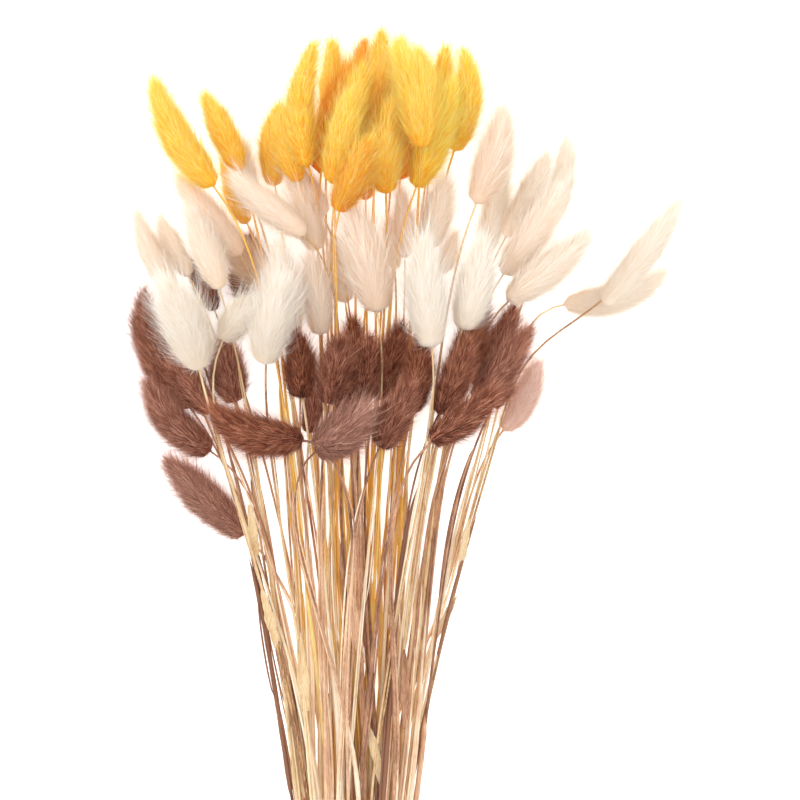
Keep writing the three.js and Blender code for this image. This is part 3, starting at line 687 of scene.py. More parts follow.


# The root stops of each family are partly painted shade, and the tip stops partly a painted highlight.
FUR = {
    "yellow": fur_finish(
        "yellow dyed fur",
        roots=shades((0.0, 245, 176, 25), (1.0, 234, 108, 12)),
        middles=shades((0.0, 250, 242, 94), (1.0, 246, 186, 48)),
        tips=shades((0.0, 252, 249, 186), (1.0, 251, 232, 132)),
        rough=0.75, contrast=0.6, patches=0.9, sheen=0.25, glow=colour(255, 240, 170)),
    "cream": fur_finish(
        "natural cream fur",
        roots=shades((0.0, 243, 230, 211), (0.5, 242, 209, 175), (1.0, 208, 166, 126)),
        middles=shades((0.0, 250, 246, 238), (0.5, 249, 231, 209), (1.0, 237, 209, 178)),
        tips=shades((0.0, 253, 252, 249), (0.5, 252, 243, 232), (1.0, 247, 233, 213)),
        rough=0.8, contrast=0.36, patches=0.6, sheen=0.4, glow=colour(255, 250, 244)),
    "brown": fur_finish(
        "brown dyed fur",
        roots=shades((0.0, 32, 5, 1), (0.4, 104, 54, 42), (1.0, 236, 200, 180)),
        middles=shades((0.0, 138, 56, 28), (0.4, 186, 118, 96), (1.0, 250, 232, 220)),
        tips=shades((0.0, 242, 164, 120), (0.4, 248, 198, 172), (1.0, 254, 243, 235)),
        rough=0.7, contrast=0.85, patches=1.5, sheen=0.22, glow=colour(250, 176, 136)),
}
print("fur finishes:", ", ".join(FUR))

# %% [markdown]
# ## One furry piece for each node
#
# The rings of a packed head are about three quarters as wide as the head with its fur, so
# the core is swept a little inside them and the bristles reach beyond. A tint is drawn
# for each head, and the few heads that stand out in the bunch, such as the peach ones near
# the top, are named by the place of their tips. Some of the named tints are painted
# shade: the tan of the cream heads that lie in the shade and the orange of the yellow heads
# deep inside their cluster. Brown fur is short and ruffled, cream fur is long and silky,
# and the sizes below say so.

# %% Tints
rng = np.random.default_rng(17)
HEAD_STEPS = 26
HEAD_FULLNESS = {"yellow": 1.0, "cream": 0.99, "brown": 1.08}
NECK_STEP = 0.25
NECK_LENGTH = 0.16
NECK_SHARE = 0.3
NECK_GIRTH = 0.86
TIP_TAPER = {"yellow": 0.42, "cream": 0.55, "brown": 0.35}
TAPER_BEND = 1.3
TINT_RANGE = {"yellow": (0.0, 0.3), "cream": (0.0, 0.22), "brown": (0.0, 0.32)}
NAMED_TINTS_AND_PAINTED_SHADE = [
    ((-54, 176), 0.2), ((-49, 162), 0.22), ((-2, 165), 0.25), ((15, 169), 0.15), ((43, 199), 0.28),
    # These cream heads lie in the shade, and their tan tints are painted shade.
    ((-24, 153), 0.3), ((-86, 148), 0.85), ((-103, 170), 0.3),
    ((-108, 121), 0.0), ((-66, 115), 0.0), ((-56, 122), 0.0), ((-56, 139), 0.1), ((7, 140), 0.0),
    ((34, 140), 0.0),
    ((59, 88), 0.92), ((-110, 43), 0.46), ((-117, 77), 0.34), ((-18, 66), 0.46), ((-87, 66), 0.08),
    ((54, 102), 0.3),
    # These yellow heads lie deep inside their cluster, and their orange tints are painted shade.
    ((-17, 185), 0.5), ((-26, 221), 0.9), ((-19, 197), 1.0), ((-1, 212), 1.0), ((-20, 233), 0.9),
    ((-14, 212), 0.8),
]
SAME_TIP = 5
print("tints named for", len(NAMED_TINTS_AND_PAINTED_SHADE), "heads")


def tint_of(family, tip):
    """The tint named for a tip at this place in millimetres, or else a drawn one."""
    for (x, y), tint in NAMED_TINTS_AND_PAINTED_SHADE:
        if math.hypot(tip[0] / MM - x, tip[1] / MM - y) < SAME_TIP:
            return tint
    return rng.uniform(*TINT_RANGE[family])


# %% Grow the heads
def head_line(family, straw, lane, lanes):
    """The head's line from its neck to its tip, with what the tree reads from each point."""
    centres = straw["head"][::-1]
    radii = straw["radii"][::-1]
    base = centres[0] - (centres[1] - centres[0]) * NECK_STEP
    centres = np.vstack([base, centres])
    radii = np.concatenate([[0.0], radii])
    line, run, (girth,) = smooth_line(centres, HEAD_STEPS, [radii])
    share = run / run[-1]
    girth = girth * HEAD_FULLNESS[family]
    body = girth.max()
    blunt = NECK_GIRTH * body * np.clip(share / NECK_LENGTH, 0, 1) ** 0.5
    girth = np.where(share < NECK_SHARE, np.maximum(girth, blunt), girth)
    girth = girth * (1 - TIP_TAPER[family] * np.clip(share * 2 - 1, 0, 1) ** TAPER_BEND)
    girth[0] = girth[-1] = 0.0
    return line, {"girth": girth, "share": share, "body": body,
                  "tint": tint_of(family, straw["head"][0]),
                  "lane": lane / lanes, "lane_width": 1 / lanes}


FUR_SIZES = {
    "yellow": {"Fluff length": 0.62, "Awn length": 1.3, "Lean": 0.32, "Stray": 0.2, "Lumps": 1.15 * MM},
    "cream": {"Fluff length": 0.7, "Awn length": 1.5, "Lean": 0.32, "Stray": 0.22, "Lumps": 1.0 * MM},
    "brown": {"Fluff length": 0.5, "Awn length": 0.98, "Lean": 0.5, "Stray": 0.26, "Lumps": 1.4 * MM},
}
pieces = []
for number, (name, (straws, points)) in enumerate(stalks.items()):
    family = name.split("_")[0]
    lines = [head_line(family, straw, lane, len(straws)) for lane, straw in enumerate(straws)]
    head = grown(name + "_head", line_mesh(lines), HEAD_TREE,
                 dict(FUR_SIZES[family], Seed=number * 7 + 3, Finish=FUR[family]))
    pieces.append((head, name, family + "_grass"))
print("heads:", len(pieces), "pieces with", triangles_in(pieces), "triangles")

# %% [markdown]
# ## Straws and their sheaths
#
# Below its head each straw is a bare, round stem barely a millimetre thick. Lower down
# old leaf sheaths still wrap it: papery tubes that start at a joint, end in a loose point
# and make the straw look twice as thick. Torn strips of them stand off here and there and
# fill the bunch with fine lines. All three are tubes along a line, so one small tree
# makes them, with the radius carried on the line's points. Every line ends in a point of
# no radius, which closes the tube without a cap. Sun and dye leave the straws unequal: at
# the waist of the bunch those on the left edge are stained brown and those beside them
# are bleached, so each line also carries a tone that changes on the way down.


# %% The tree that sweeps a straw
STRAW_FLOOR = 0.05 * MM


def straw_tree():
    bench, given, line = new_tree("straw", {"Sides": 8})
    skin = tube(bench, line, given("Sides"), bench.read("girth"), bench.read("run"))
    soft = bench.node("GeometryNodeSetShadeSmooth", {"Geometry": skin})
    return end_tree(bench, given, soft, STRAW_FLOOR)


STRAW_TREE = straw_tree()
print("straw tree:", len(STRAW_TREE.nodes), "nodes")


# %% The straw finish
FIBRES_PER_METRE = 2600.0
FIBRE_STRETCH = (1.0, 0.05, 1.0)
STAINS_PER_METRE = 60.0
FIBRE_CONTRAST = 0.9
STAIN_CONTRAST = 0.7
STRAW_ROUGH = 0.62
PAPER_GLOSS = 0.08
FIBRE_ROUGH = 0.2


def straw_finish(name, bare, sheath, joint):
    """Stops over the tone for the bare stem and for the sheath, and the dark of a joint."""
    finish, bench = new_finish(name)
    object_place = bench.node("ShaderNodeTexCoord").out("Object")
    stretched = bench.node("ShaderNodeMapping", {"Vector": object_place, "Scale": FIBRE_STRETCH})
    fibres = bench.noise(stretched, FIBRES_PER_METRE, 3.0)
    stains = bench.noise(object_place, STAINS_PER_METRE, 2.0)
    uneven = (fibres - 0.5) * FIBRE_CONTRAST + (stains - 0.5) * STAIN_CONTRAST
    tone = bench.clamped(bench.attribute("tone") + uneven)
    papery = bench.attribute("papery")
    skin = bench.blend(papery, bench.ramp(tone, bare), bench.ramp(tone, sheath))
    base = bench.blend(bench.attribute("joint"), skin, joint)
    bump = bench.node("ShaderNodeBump", {"Strength": 0.4, "Distance": 0.12 * MM, "Height": fibres})
    rough = STRAW_ROUGH - papery * PAPER_GLOSS + (fibres - 0.5) * FIBRE_ROUGH
    end_finish(bench, base, rough, bump, Specular_IOR_Level=0.35)
    return finish


STRAW = {
    "yellow": straw_finish(
        "ochre straw",
        bare=shades((0.0, 206, 144, 50), (0.5, 236, 182, 84), (1.0, 248, 214, 132)),
        sheath=shades((0.0, 218, 158, 70), (0.5, 242, 200, 114), (1.0, 251, 228, 162)),
        joint=colour(150, 96, 44)),
    "cream": straw_finish(
        "pale straw",
        bare=shades((0.0, 136, 92, 66), (0.2, 206, 164, 116), (0.6, 234, 206, 162), (1.0, 247, 231, 202)),
        sheath=shades((0.0, 156, 110, 82), (0.2, 214, 180, 132), (0.6, 240, 217, 177), (1.0, 251, 240, 217)),
        joint=colour(176, 130, 84)),
    "brown": straw_finish(
        "brown straw",
        bare=shades((0.0, 104, 64, 47), (0.4, 180, 132, 103), (0.75, 220, 178, 144), (1.0, 240, 216, 182)),
        sheath=shades((0.0, 138, 94, 71), (0.4, 206, 158, 124), (0.75, 236, 201, 165), (1.0, 250, 234, 206)),
        joint=colour(92, 56, 42)),
}
print("straw finishes:", ", ".join(STRAW))

# %% Sizes of straws
STRAW_STEPS = 46
STRAW_U = 0.84
EASING = 5
BARE_TOP = 0.48 * MM
BARE_LOW = 0.75 * MM
BARE_SPREAD = (0.9, 1.15)
STRAW_TONES = (0.15, 0.7)
WAIST_Y = -83 * MM
WAIST_TONES = [(-48.5 * MM, -0.5), (-25 * MM, 0.5), (100 * MM, 0.0)]
TONE_START = 0.3
TONE_LENGTH = 60 * MM
LOW_JOINT = (-165 * MM, -120 * MM)
HIGH_JOINT = (-40 * MM, 10 * MM)
JOINT_LENGTH = 2.5 * MM
JOINT_SWELL = 0.35
JOINT_DARK = 0.6
LAST_STEP = 0.01
FEWEST_POINTS = 4
print("bare straws are", 2 * BARE_TOP / MM, "to", 2 * BARE_LOW / MM, "mm thick")

# %% A papery sheath
SHEATHS = 2
SHEATH_TOPS = (-70 * MM, 42 * MM)
BARE_CHANCE = 0.08
CUT_GAP = 3 * MM
JOINT_GAP = 4 * MM
SHEATH_STEPS = 10
SHEATH_LIFT = 0.12 * MM
SHEATH_GAPE = (0.6 * MM, 2.2 * MM)
GAPE_SHARE = 0.3
GAPE_RISE = 0.6
SHEATH_RADII = (0.8 * MM, 1.3 * MM)
SHEATH_POINT = 0.16
SHEATH_FOOT = 0.05
FOOT_GIRTH = 0.75
RIPPLE = 0.08
RIPPLES = (20, 40)
SHEATH_LEAST_Z = 1.2 * MM
SHEATH_TONE = 0.3


def sheath(stretch):
    """A papery tube round a stretch of straw that gapes at its top, with its radii."""
    line, run = smooth_line(stretch, max(SHEATH_STEPS, len(stretch)))[:2]
    share = run / run[-1]
    away = np.array([rng.normal(), 0.0, abs(rng.normal()) * GAPE_RISE])
    away /= np.linalg.norm(away)
    loose = np.clip(1 - share / GAPE_SHARE, 0, 1) ** 2
    line = line + away * (SHEATH_LIFT + loose[:, None] * rng.uniform(*SHEATH_GAPE))
    line[:, 2] = np.maximum(line[:, 2], SHEATH_LEAST_Z)
    ends = np.clip(share / SHEATH_POINT, 0, 1) ** 0.7
    ends = ends * np.clip((1 - share) / SHEATH_FOOT, FOOT_GIRTH, 1)
    thick = rng.uniform(*SHEATH_RADII) * ends
    return line, share, thick * (1 + RIPPLE * np.sin(share * rng.uniform(*RIPPLES)))


print("sheaths on a straw:", SHEATHS)

# %% A torn strip
STRIPS = 3
STRIP_STEPS = 12
STRIP_TOPS = (-90 * MM, 100 * MM)
STRIP_LENGTHS = (50 * MM, 130 * MM)
STRIP_BOW = (0.7 * MM, 1.9 * MM)
STRIP_DRIFT = 0.6
STRIP_LIFT = (0.2 * MM, 1.6 * MM)
STRIP_RADII = (0.28 * MM, 0.62 * MM)
STRIP_LEAST_Z = 0.8 * MM
STRIP_TONE = 0.4
BELOW_HEAD = 12 * MM


def strip(stretch):
    """A torn strip that bows away from a stretch of straw, with its radii."""
    line, run = smooth_line(stretch, max(STRIP_STEPS, len(stretch) + 2))[:2]
    share = run / run[-1]
    side = rng.choice([-1, 1]) * rng.uniform(*STRIP_BOW)
    bow = np.sin(math.pi * share) ** 0.5 + rng.uniform(-STRIP_DRIFT, STRIP_DRIFT) * share
    line[:, 0] += side * bow
    line[:, 2] = np.maximum(line[:, 2] + rng.uniform(*STRIP_LIFT) * bow, STRIP_LEAST_Z)
    return line, share, rng.uniform(*STRIP_RADII) * np.sin(math.pi * (0.1 + 0.8 * share)) ** 0.5


print("strips on a straw:", STRIPS)


# %% All the lines of one straw
def between(path, low, high):
    """The points of a path whose y is between two values."""
    return path[(path[:, 1] < high) & (path[:, 1] > low)]


COLUMNS = 1 + SHEATHS + STRIPS


def straw_lines(straw, lane, lanes):
    """The straw's own line, its sheaths and its strips, each closed at both ends."""
    path, run = smooth_line([straw["head"][-2], *straw["line"]], STRAW_STEPS)[:2]
    eased(path, EASING)
    at_waist = np.interp(WAIST_Y, path[::-1, 1], path[::-1, 0])
    change = next(tone for right, tone in WAIST_TONES if at_waist < right)
    tone = rng.uniform(*STRAW_TONES) + change * np.clip(TONE_START - path[:, 1] / TONE_LENGTH, 0, 1)
    share = run / run[-1]
    girth = (BARE_TOP + (BARE_LOW - BARE_TOP) * share) * rng.uniform(*BARE_SPREAD)
    joints = [rng.uniform(*LOW_JOINT), rng.uniform(*HIGH_JOINT)]
    joint = sum(np.exp(-((path[:, 1] - y) / JOINT_LENGTH) ** 2) for y in joints)
    path[-2] = path[-1] + (path[-2] - path[-1]) * LAST_STEP
    width = STRAW_U / lanes / COLUMNS
    lines = []

    def add(line, along, thick, column, its_tone, papery, dark):
        """Adds a line in its own column of the UV map. No radius at its ends closes the tube."""
        thick[0] = thick[-1] = 0
        lines.append((line, {"girth": thick, "tone": its_tone, "papery": papery, "joint": dark, "run": along,
                             "lane": lane / lanes * STRAW_U + width * column, "lane_width": width}))

    add(path, share, girth * (1 + JOINT_SWELL * joint), 0, tone, 0, joint * JOINT_DARK)
    wrapped = [(joints[0], rng.uniform(*SHEATH_TOPS)), (path[-1, 1] + CUT_GAP, joints[0] - JOINT_GAP)]
    for column, (low, high) in enumerate(wrapped, 1):
        stretch = between(path, low, high)
        if len(stretch) < FEWEST_POINTS or rng.uniform() < BARE_CHANCE:
            continue
        add(*sheath(stretch), column, np.mean(tone) + rng.uniform(-SHEATH_TONE, SHEATH_TONE), 1, 0)
    for column in range(COLUMNS - STRIPS, COLUMNS):
        high = min(rng.uniform(*STRIP_TOPS), straw["head"][-1][1] - BELOW_HEAD)
        stretch = between(path, high - rng.uniform(*STRIP_LENGTHS), high)
        if len(stretch) < FEWEST_POINTS:
            continue
        add(*strip(stretch), column, np.mean(tone) + rng.uniform(-STRIP_TONE, STRIP_TONE), 1, 0)
    return lines


print("columns in a straw's lane:", COLUMNS)

# %% [markdown]
# ## Leaf blades
#
# A few straws still bear a dry leaf: a long, thin blade that curls along its middle and
# has fine veins from end to end. The table below lists where each one ends and starts, as
# seen from above, and its width in millimetres. The packed corner nearest to a blade's end
# gives its height, and the straw's own line gives the place it grows from. Between the
# two a blade with a wavy, slightly torn outline is lofted and closed all round.

# %% Where each blade ends and starts
TIP_REACH = 1.0
BLADES = [
    ((-71.5, 22.5), (-64.7, -0.4), 3.2), ((-65.6, -15.7), (-59.3, -42.7), 3.6),
    ((-49.0, -35.5), (-43.1, -70.6), 4.1), ((-56.2, -43.6), (-46.7, -110.2), 6.3),
    ((-18.8, -75.1), (-9.4, -110.2), 3.6), ((-27.4, -8.5), (-19.7, -49.0), 3.6),
    ((-1.7, -42.7), (1.9, -78.7), 3.6), ((-4.9, -95.8), (-1.7, -123.7), 3.6),
    ((28.0, 15.8), (21.2, -4.9), 2.7), ((22.1, -19.3), (16.3, -39.1), 2.7),
]


def crossing(straw, y):
    """The x and z at which a straw passes this y."""
    line = np.array(straw["line"])[::-1]
    return [np.interp(y, line[:, 1], line[:, axis]) for axis in (0, 2)]


def blade_ends(tip, root):
    """The node that bears the blade, with the blade's tip and root in space."""
    best = (TIP_REACH, None)
    for name, (straws, points) in stalks.items():
        gaps = np.hypot(points[:, 0] / MM - tip[0], points[:, 1] / MM - tip[1])
        if gaps.min() < best[0]:
            best = (gaps.min(), (name, points[gaps.argmin()]))
    name, top = best[1]
    crossings = [crossing(straw, root[1] * MM) for straw in stalks[name][0]]
    x, z = min(crossings, key=lambda place: abs(place[0] - root[0] * MM))
    return name, top, np.array([x, root[1] * MM, z])


blades_on = {}
for tip, root, width in BLADES:
    bearer, top, foot = blade_ends(tip, root)
    blades_on.setdefault(bearer, []).append((top, foot, width))
print("blades on", ", ".join(sorted(blades_on)))

# %% Loft a blade
BLADE_STEPS = 44
ACROSS = np.array([-1, -0.6, -0.2, 0.2, 0.6, 1])
BLADE_HALF_THICKNESS = 0.12 * MM
BLADE_EDGE = 0.05
BLADE_FULLNESS = 1.3
BLADE_ARCH = 1.2 * MM
BLADE_LEAN = 0.3
BLADE_TURN = 0.9
BLADE_CURL = 0.35
BLADE_WAVE = 0.3 * MM
WAVES = 26
LARGE_NOTCHES = (0.13, 15)
SMALL_NOTCHES = (0.05, 37)


def quads(sheet):
    """Faces between neighbours in a sheet of corner numbers."""
    corners = [sheet[:-1, :-1], sheet[:-1, 1:], sheet[1:, 1:], sheet[1:, :-1]]
    return np.stack(corners, -1).reshape(-1, 4).tolist()


def blade_mesh(tip, root, width):
    """Corners and faces of one blade, from its root to its tip."""
    share = np.linspace(0, 1, BLADE_STEPS)
    line = root + (tip - root) * share[:, None]
    line[:, 2] += BLADE_ARCH * np.sin(math.pi * share)
    along = (tip - root) / np.linalg.norm(tip - root)
    flat_side = np.cross((0, 0, 1), along)
    flat_side /= np.linalg.norm(flat_side)
    lift = np.cross(along, flat_side)
    start = rng.uniform(-BLADE_LEAN, BLADE_LEAN)
    turns = rng.uniform(-BLADE_TURN, BLADE_TURN)
    half = width / 2 * MM * BLADE_FULLNESS * np.sin(math.pi * (0.12 + 0.85 * share)) ** 0.6
    (deep, wide), (fine, narrow) = LARGE_NOTCHES, SMALL_NOTCHES
    half = half * (1 + deep * np.sin(share * wide + rng.uniform(0, 6)) + fine * np.sin(share * narrow))
    points = []
    for face in (1, -1):
        for at in range(BLADE_STEPS):
            angle = start + turns * share[at]
            across = flat_side * math.cos(angle) + lift * math.sin(angle)
            up = lift * math.cos(angle) - flat_side * math.sin(angle)
            for x in ACROSS:
                curl = BLADE_CURL * half[at] * x * x
                wave = BLADE_WAVE * math.sin(share[at] * WAVES + x * 4) * abs(x) * min(1, share[at] * 4)
                thick = face * BLADE_HALF_THICKNESS * (1 + BLADE_EDGE - abs(x) ** 3)
                points.append(line[at] + across * half[at] * x + up * (curl + wave + thick))
    both = np.arange(len(points)).reshape(2, BLADE_STEPS, len(ACROSS))
    sheets = (both[0], both[1].T, both[:, :, 0], both[::-1, :, -1], both[::-1, 0], both[:, -1])
    return points, [face for sheet in sheets for face in quads(sheet)], share


print("corners of a blade:", 2 * BLADE_STEPS * len(ACROSS))

# %% Join straws and blades into one piece for each node
BLADE_TONES = (0.2, 0.6)
BLADE_UV = (STRAW_U + 0.02, 0.97 - STRAW_U)
LEFT_EDGE = -58 * MM
LEFT_EDGE_Y = -60 * MM


def with_blades(straw_piece, blades, family):
    """Adds the blades to a straw piece as more of the same mesh."""
    left, wide = BLADE_UV
    for number, (tip, root, width) in enumerate(blades):
        points, faces, share = blade_mesh(tip, root, width)
        mesh = bpy.data.meshes.new("blade")
        mesh.from_pydata(points, [], faces)
        mesh.polygons.foreach_set("use_smooth", np.ones(len(faces), dtype=bool))
        flat = mesh.uv_layers.new(name="OFBake")
        for corner in mesh.loops:
            step = corner.vertex_index % (BLADE_STEPS * len(ACROSS)) // len(ACROSS)
            column = corner.vertex_index % len(ACROSS)
            across = (number + 0.1 + 0.8 * column / (len(ACROSS) - 1)) / len(blades)
            flat.data[corner.index].uv = (left + wide * across, share[step])
        add_values(mesh, {"tone": rng.uniform(*BLADE_TONES), "papery": 1, "joint": 0})
        mesh.materials.append(STRAW[family])
        mesh.validate()
        extra = add_object("blade", mesh)
        with bpy.context.temp_override(active_object=straw_piece,
                                       selected_editable_objects=[straw_piece, extra]):
            bpy.ops.object.join()


def at_left_edge(straws):
    """Whether a node's straws lie along the left edge of the bunch, where all straws are brown."""
    return max(crossing(straw, LEFT_EDGE_Y)[0] for straw in straws) < LEFT_EDGE


for name, (straws, points) in stalks.items():
    family = name.split("_")[0]
    lines = [line for lane, straw in enumerate(straws) for line in straw_lines(straw, lane, len(straws))]
    dye = "brown" if at_left_edge(straws) else family
    piece = grown(name + "_straw", line_mesh(lines), STRAW_TREE, {"Finish": STRAW[dye]})
    with_blades(piece, blades_on.get(name, []), dye)
    pieces.append((piece, name, family + "_grass"))
print("straw pieces:", len(stalks), "with", triangles_in(pieces[len(stalks):]), "triangles")

# %% [markdown]
# ## The twine
#
# A natural twine goes round the straws four times, is knotted on top and leaves two loose
# ends. It is pulled tight, so its path is worked out from the straws that it touches. Its
# three plies are what makes it read as twine and not as a cord, and a tube with a
# three-lobed cross-section that turns as it runs along shows the same spiral grooves. The
# lobes come from the profile, and the turning from the curve's tilt.


# %% The tree that lays twine
PLIES = 3
RING_STEPS = 15
FUZZ_SEED = 5
FUZZ_STRAY = 1.1


def twine_tree():
    bench, given, line = new_tree("twine", {
        "Radius": 1.0 * MM,
        "Twist length": 7 * MM,
        "Groove": 0.2,
        "Fuzz per square metre": 3.0e5,
        "Fuzz length": 2.2 * MM,
        "Fuzz width": 0.07 * MM,
    })
    run = bench.node("GeometryNodeSplineParameter").out("Length")
    tilted = bench.node("GeometryNodeSetCurveTilt",
                        {"Curve": line, "Tilt": run / given("Twist length") * (2 * math.pi)})
    circle = bench.node("GeometryNodeCurvePrimitiveCircle", {"Resolution": RING_STEPS})
    angle = bench.node("GeometryNodeSplineParameter") * (2 * math.pi)
    lobes = 1.0 - given("Groove") * (1 - bench.maths("ABSOLUTE", bench.maths("COSINE", angle * (PLIES / 2))))
    lobed = bench.scaled(bench.node("GeometryNodeInputPosition"), lobes)
    plies = bench.node("GeometryNodeSetPosition", {"Geometry": circle, "Position": lobed})
    girth = bench.read("girth") * given("Radius")
    skin = bench.node("GeometryNodeCurveToMesh",
                      {"Curve": tilted, "Profile Curve": plies, "Fill Caps": True, "Scale": girth})
    soft = bench.node("GeometryNodeSetShadeSmooth", {"Geometry": skin})
    points = strewn(bench, soft, given("Fuzz per square metre"), FUZZ_SEED)
    stray = bench.scaled(bench.any_way(FUZZ_SEED + 1), FUZZ_STRAY)
    way = bench.vector("ADD", points.out("Normal"), stray)
    size = bench.joined(given("Fuzz width"), given("Fuzz length"), given("Fuzz length"))
    fuzz = planted(bench, points, AWN, way, (0.0, 0.0, 1.0), size)
    return end_tree(bench, given, bench.together((fuzz, soft)), 0.0)


TWINE_TREE = twine_tree()
print("twine tree:", len(TWINE_TREE.nodes), "nodes")

# %% The twine finish
HAIRS_PER_METRE = 1800.0
HAIR_CONTRAST = 1.5
SPOTS_PER_METRE = 170.0
SPOT_CONTRAST = 0.8


def twine_finish():
    finish, bench = new_finish("natural twine")
    object_place = bench.node("ShaderNodeTexCoord").out("Object")
    hairs = bench.noise(object_place, HAIRS_PER_METRE, 4.0)
    spots = bench.noise(object_place, SPOTS_PER_METRE, 2.0)
    tone = bench.clamped(0.5 + (hairs - 0.5) * HAIR_CONTRAST + (spots - 0.5) * SPOT_CONTRAST)
    base = bench.ramp(tone, shades((0.0, 128, 92, 54), (0.5, 186, 148, 100), (1.0, 222, 192, 148)))
    bump = bench.node("ShaderNodeBump", {"Strength": 0.5, "Distance": 0.15 * MM, "Height": hairs})
    end_finish(bench, base, 0.85 + (hairs - 0.5) * 0.1, bump, Specular_IOR_Level=0.2)
    return finish


TWINE_FINISH = twine_finish()
print("twine finish:", TWINE_FINISH.name)

# %% Wind it round the waist
TWINE_TURNS = 4
TWINE_RADIUS = 1.1 * MM
STRAW_REACH = 1.25 * MM
BAND_Y = TIE_HIGH[1] - TWINE_TURNS * TWINE_RADIUS
WAYS_A_TURN = 72
TURN_STEPS = 110
PITCH = 2 * TWINE_RADIUS * 0.94


def straw_places(y):
    """The x and z at which each straw passes this y."""
    return np.array([crossing(straw, y) for straws, points in stalks.values() for straw in straws])


def winding():
    """Turns pulled tight: in each direction the twine rests on the straw that stands out furthest."""
    angles = np.linspace(math.pi / 2, math.pi / 2 + TWINE_TURNS * 2 * math.pi, TWINE_TURNS * WAYS_A_TURN + 1)
    turn = (angles - angles[0]) / (2 * math.pi)
    ways = np.stack([np.cos(angles), np.sin(angles)], 1)
    places = straw_places(BAND_Y)
    ring = places[np.argmax(places @ ways.T, axis=0)] + ways * (STRAW_REACH + TWINE_RADIUS)
    y = BAND_Y + (turn - TWINE_TURNS / 2) * PITCH
    path = np.stack([ring[:, 0], y, ring[:, 1]], 1)
    run = along_of(path)
    return at_even_steps(path, run, np.linspace(0, run[-1], TWINE_TURNS * TURN_STEPS))


WINDING = winding()
print("the twine round the straws is", round(along_of(WINDING)[-1] / MM), "mm long")

# %% The knot and the loose ends
KNOT_LIFT = 0.7 * MM
KNOT = np.array([WINDING[0, 0], BAND_Y, WINDING[:, 2].max() + KNOT_LIFT])
KNOT_STEPS = 40
LOOSE_FROM = 12
LOOSE_REACH = 2.4 * MM
FRAY = 0.15
FRAY_SHARE = 0.1


def from_knot(*offsets):
    return smooth_line([KNOT + np.array(offset) * MM for offset in offsets], KNOT_STEPS)[0]


def loose_end(*offsets):
    """An end that leaves the knot and then lies on whichever straws it crosses."""
    path = from_knot(*offsets)
    for at in range(LOOSE_FROM, len(path)):
        places = straw_places(path[at, 1])
        under = places[np.abs(places[:, 0] - path[at, 0]) < LOOSE_REACH]
        path[at, 2] = under[:, 1].max() + STRAW_REACH + TWINE_RADIUS if len(under) else path[at - 1, 2]
    eased(path[:, 2], 4)
    frayed = np.clip(np.linspace(1 - 1 / FRAY_SHARE, 1, len(path)), 0, 1)
    return path, {"girth": 1 + FRAY * frayed}


over = from_knot((-3.6, 2.2, -0.6), (-2.4, 2.6, 0.9), (0, 0.6, 1.7), (2.4, -2.2, 1.1), (3.4, -2.4, -0.4))
beneath = from_knot((-3.6, -2.2, -0.6), (-2.2, -2.4, 0.8), (0, -0.4, 0.3), (2.2, 2.0, 0.9), (3.5, 2.4, -0.5))
TWINE_LINES = [
    *((path, {"girth": 1}) for path in (WINDING, over, beneath)),
    loose_end((1.2, 1.6, 1.2), (-1.6, 1.8, 1.7), (-3.6, -0.6, 1.4), (-6, -4, 0), (-10, -13, 0), (-6, -21, 0)),
    loose_end((-1.2, 1.2, 1.6), (1.8, 1.4, 1.7), (3.8, -1.2, 1.4), (6, -4, 0), (8, -13, 0), (8, -26, 0)),
]
twine = grown("twine_winding", line_mesh(TWINE_LINES), TWINE_TREE, {"Finish": TWINE_FINISH})
pieces.append((twine, "twine_tie", "twine"))
print("twine:", triangles_in(pieces[-1:]), "triangles")

# %% [markdown]
# ## Every piece takes its place
#
# Each node of the packed model is hidden and its pieces stand for it. They ride on the
# one body that the bunch is.

# %% Hand the pieces over
for blade in (FLUFF, AWN):
    bpy.data.objects.remove(blade)
for piece, node, slot in pieces:
    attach(piece, "root")
    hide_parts(node)
counts = [triangles_in([piece]) for piece in pieces]
print("pieces:", len(pieces), "triangles:", sum(counts), "most in one:", max(counts))

# %% [markdown]
# ## The table, the light and the camera
#
# The bunch lies on a white table under very soft light, so the shadows are faint. A bright
# even world does most of the work, as a white tent would, and two large area lights give
# the fur a lit side. A light under the camera reaches down between the heads, where the
# tent's light is blocked, and keeps the deep ones as bright as the rest. The camera hangs
# straight above and far away with a long lens, which shows the bunch flat.


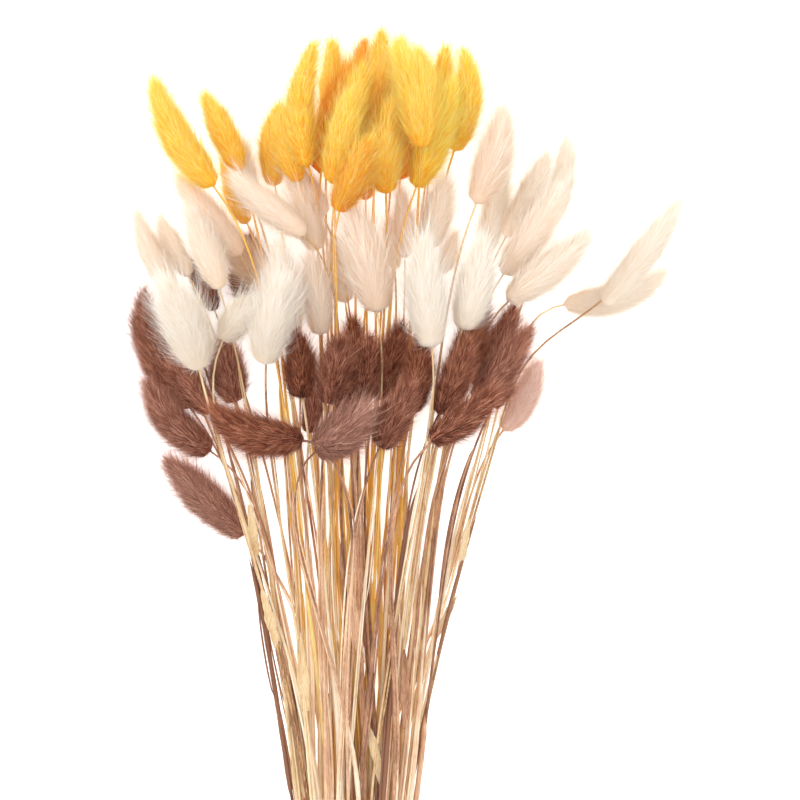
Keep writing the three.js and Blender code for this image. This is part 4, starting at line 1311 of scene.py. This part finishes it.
# %% Table
TABLE_REACH = 3.0
corners = [(x * TABLE_REACH, y * TABLE_REACH, 0) for x, y in ((-1, -1), (1, -1), (1, 1), (-1, 1))]
table = bpy.data.meshes.new("table")
table.from_pydata(corners, [], [(0, 1, 2, 3)])
table_top = add_object("table", table)
white, bench = new_finish("white table")
grain = bench.noise(bench.node("ShaderNodeTexCoord").out("Object"), 3.0)
end_finish(bench, colour(250, 250, 250), 0.9 + (grain - 0.5) * 0.05, Specular_IOR_Level=0.1,
           Emission_Color=(1, 1, 1, 1), Emission_Strength=0.6)
table.materials.append(white)
print("the table is", 2 * TABLE_REACH, "m wide")

# %% Tent and lights
TENT_STRENGTH = 0.66


def area_light(name, place, aim, size, power):
    light = bpy.data.lights.new(name, "AREA")
    light.shape = "SQUARE"
    light.size = size
    light.energy = power
    lamp = add_object(name, light)
    lamp.location = place
    lamp.rotation_euler = (Vector(aim) - Vector(place)).to_track_quat("-Z", "Y").to_euler()


world = bpy.data.worlds.new("white tent")
bpy.context.scene.world = world
world.use_nodes = True
tent = world.node_tree.nodes["Background"]
tent.inputs["Color"].default_value = (1, 1, 1, 1)
tent.inputs["Strength"].default_value = TENT_STRENGTH
area_light("left softbox", (-1.3, 0.9, 1.6), (0, 0.05, 0.04), 1.1, 22)
area_light("right softbox", (1.4, 0.3, 1.5), (0, 0.05, 0.04), 1.1, 9)
area_light("ring light", (0, 0.07, 2.4), (0, 0.07, 0), 0.5, 17)

# %% Camera
VIEW_WIDTH = 0.36
VIEW_PLACE = (-3.5255 * MM, 69.771 * MM)
HEAD_HEIGHT = 0.04
CAMERA_HEIGHT = 3.0
FILM = 36
lens = bpy.data.cameras.new("camera")
lens.sensor_width = FILM
lens.lens = FILM * (CAMERA_HEIGHT - HEAD_HEIGHT) / VIEW_WIDTH
camera = add_object("camera", lens)
camera.location = (*VIEW_PLACE, CAMERA_HEIGHT)
stage = bpy.context.scene
stage.camera = camera
stage.view_settings.view_transform = "Standard"
stage.cycles.diffuse_bounces = 10
stage.cycles.max_bounces = 14
print("camera lens:", round(lens.lens), "mm")
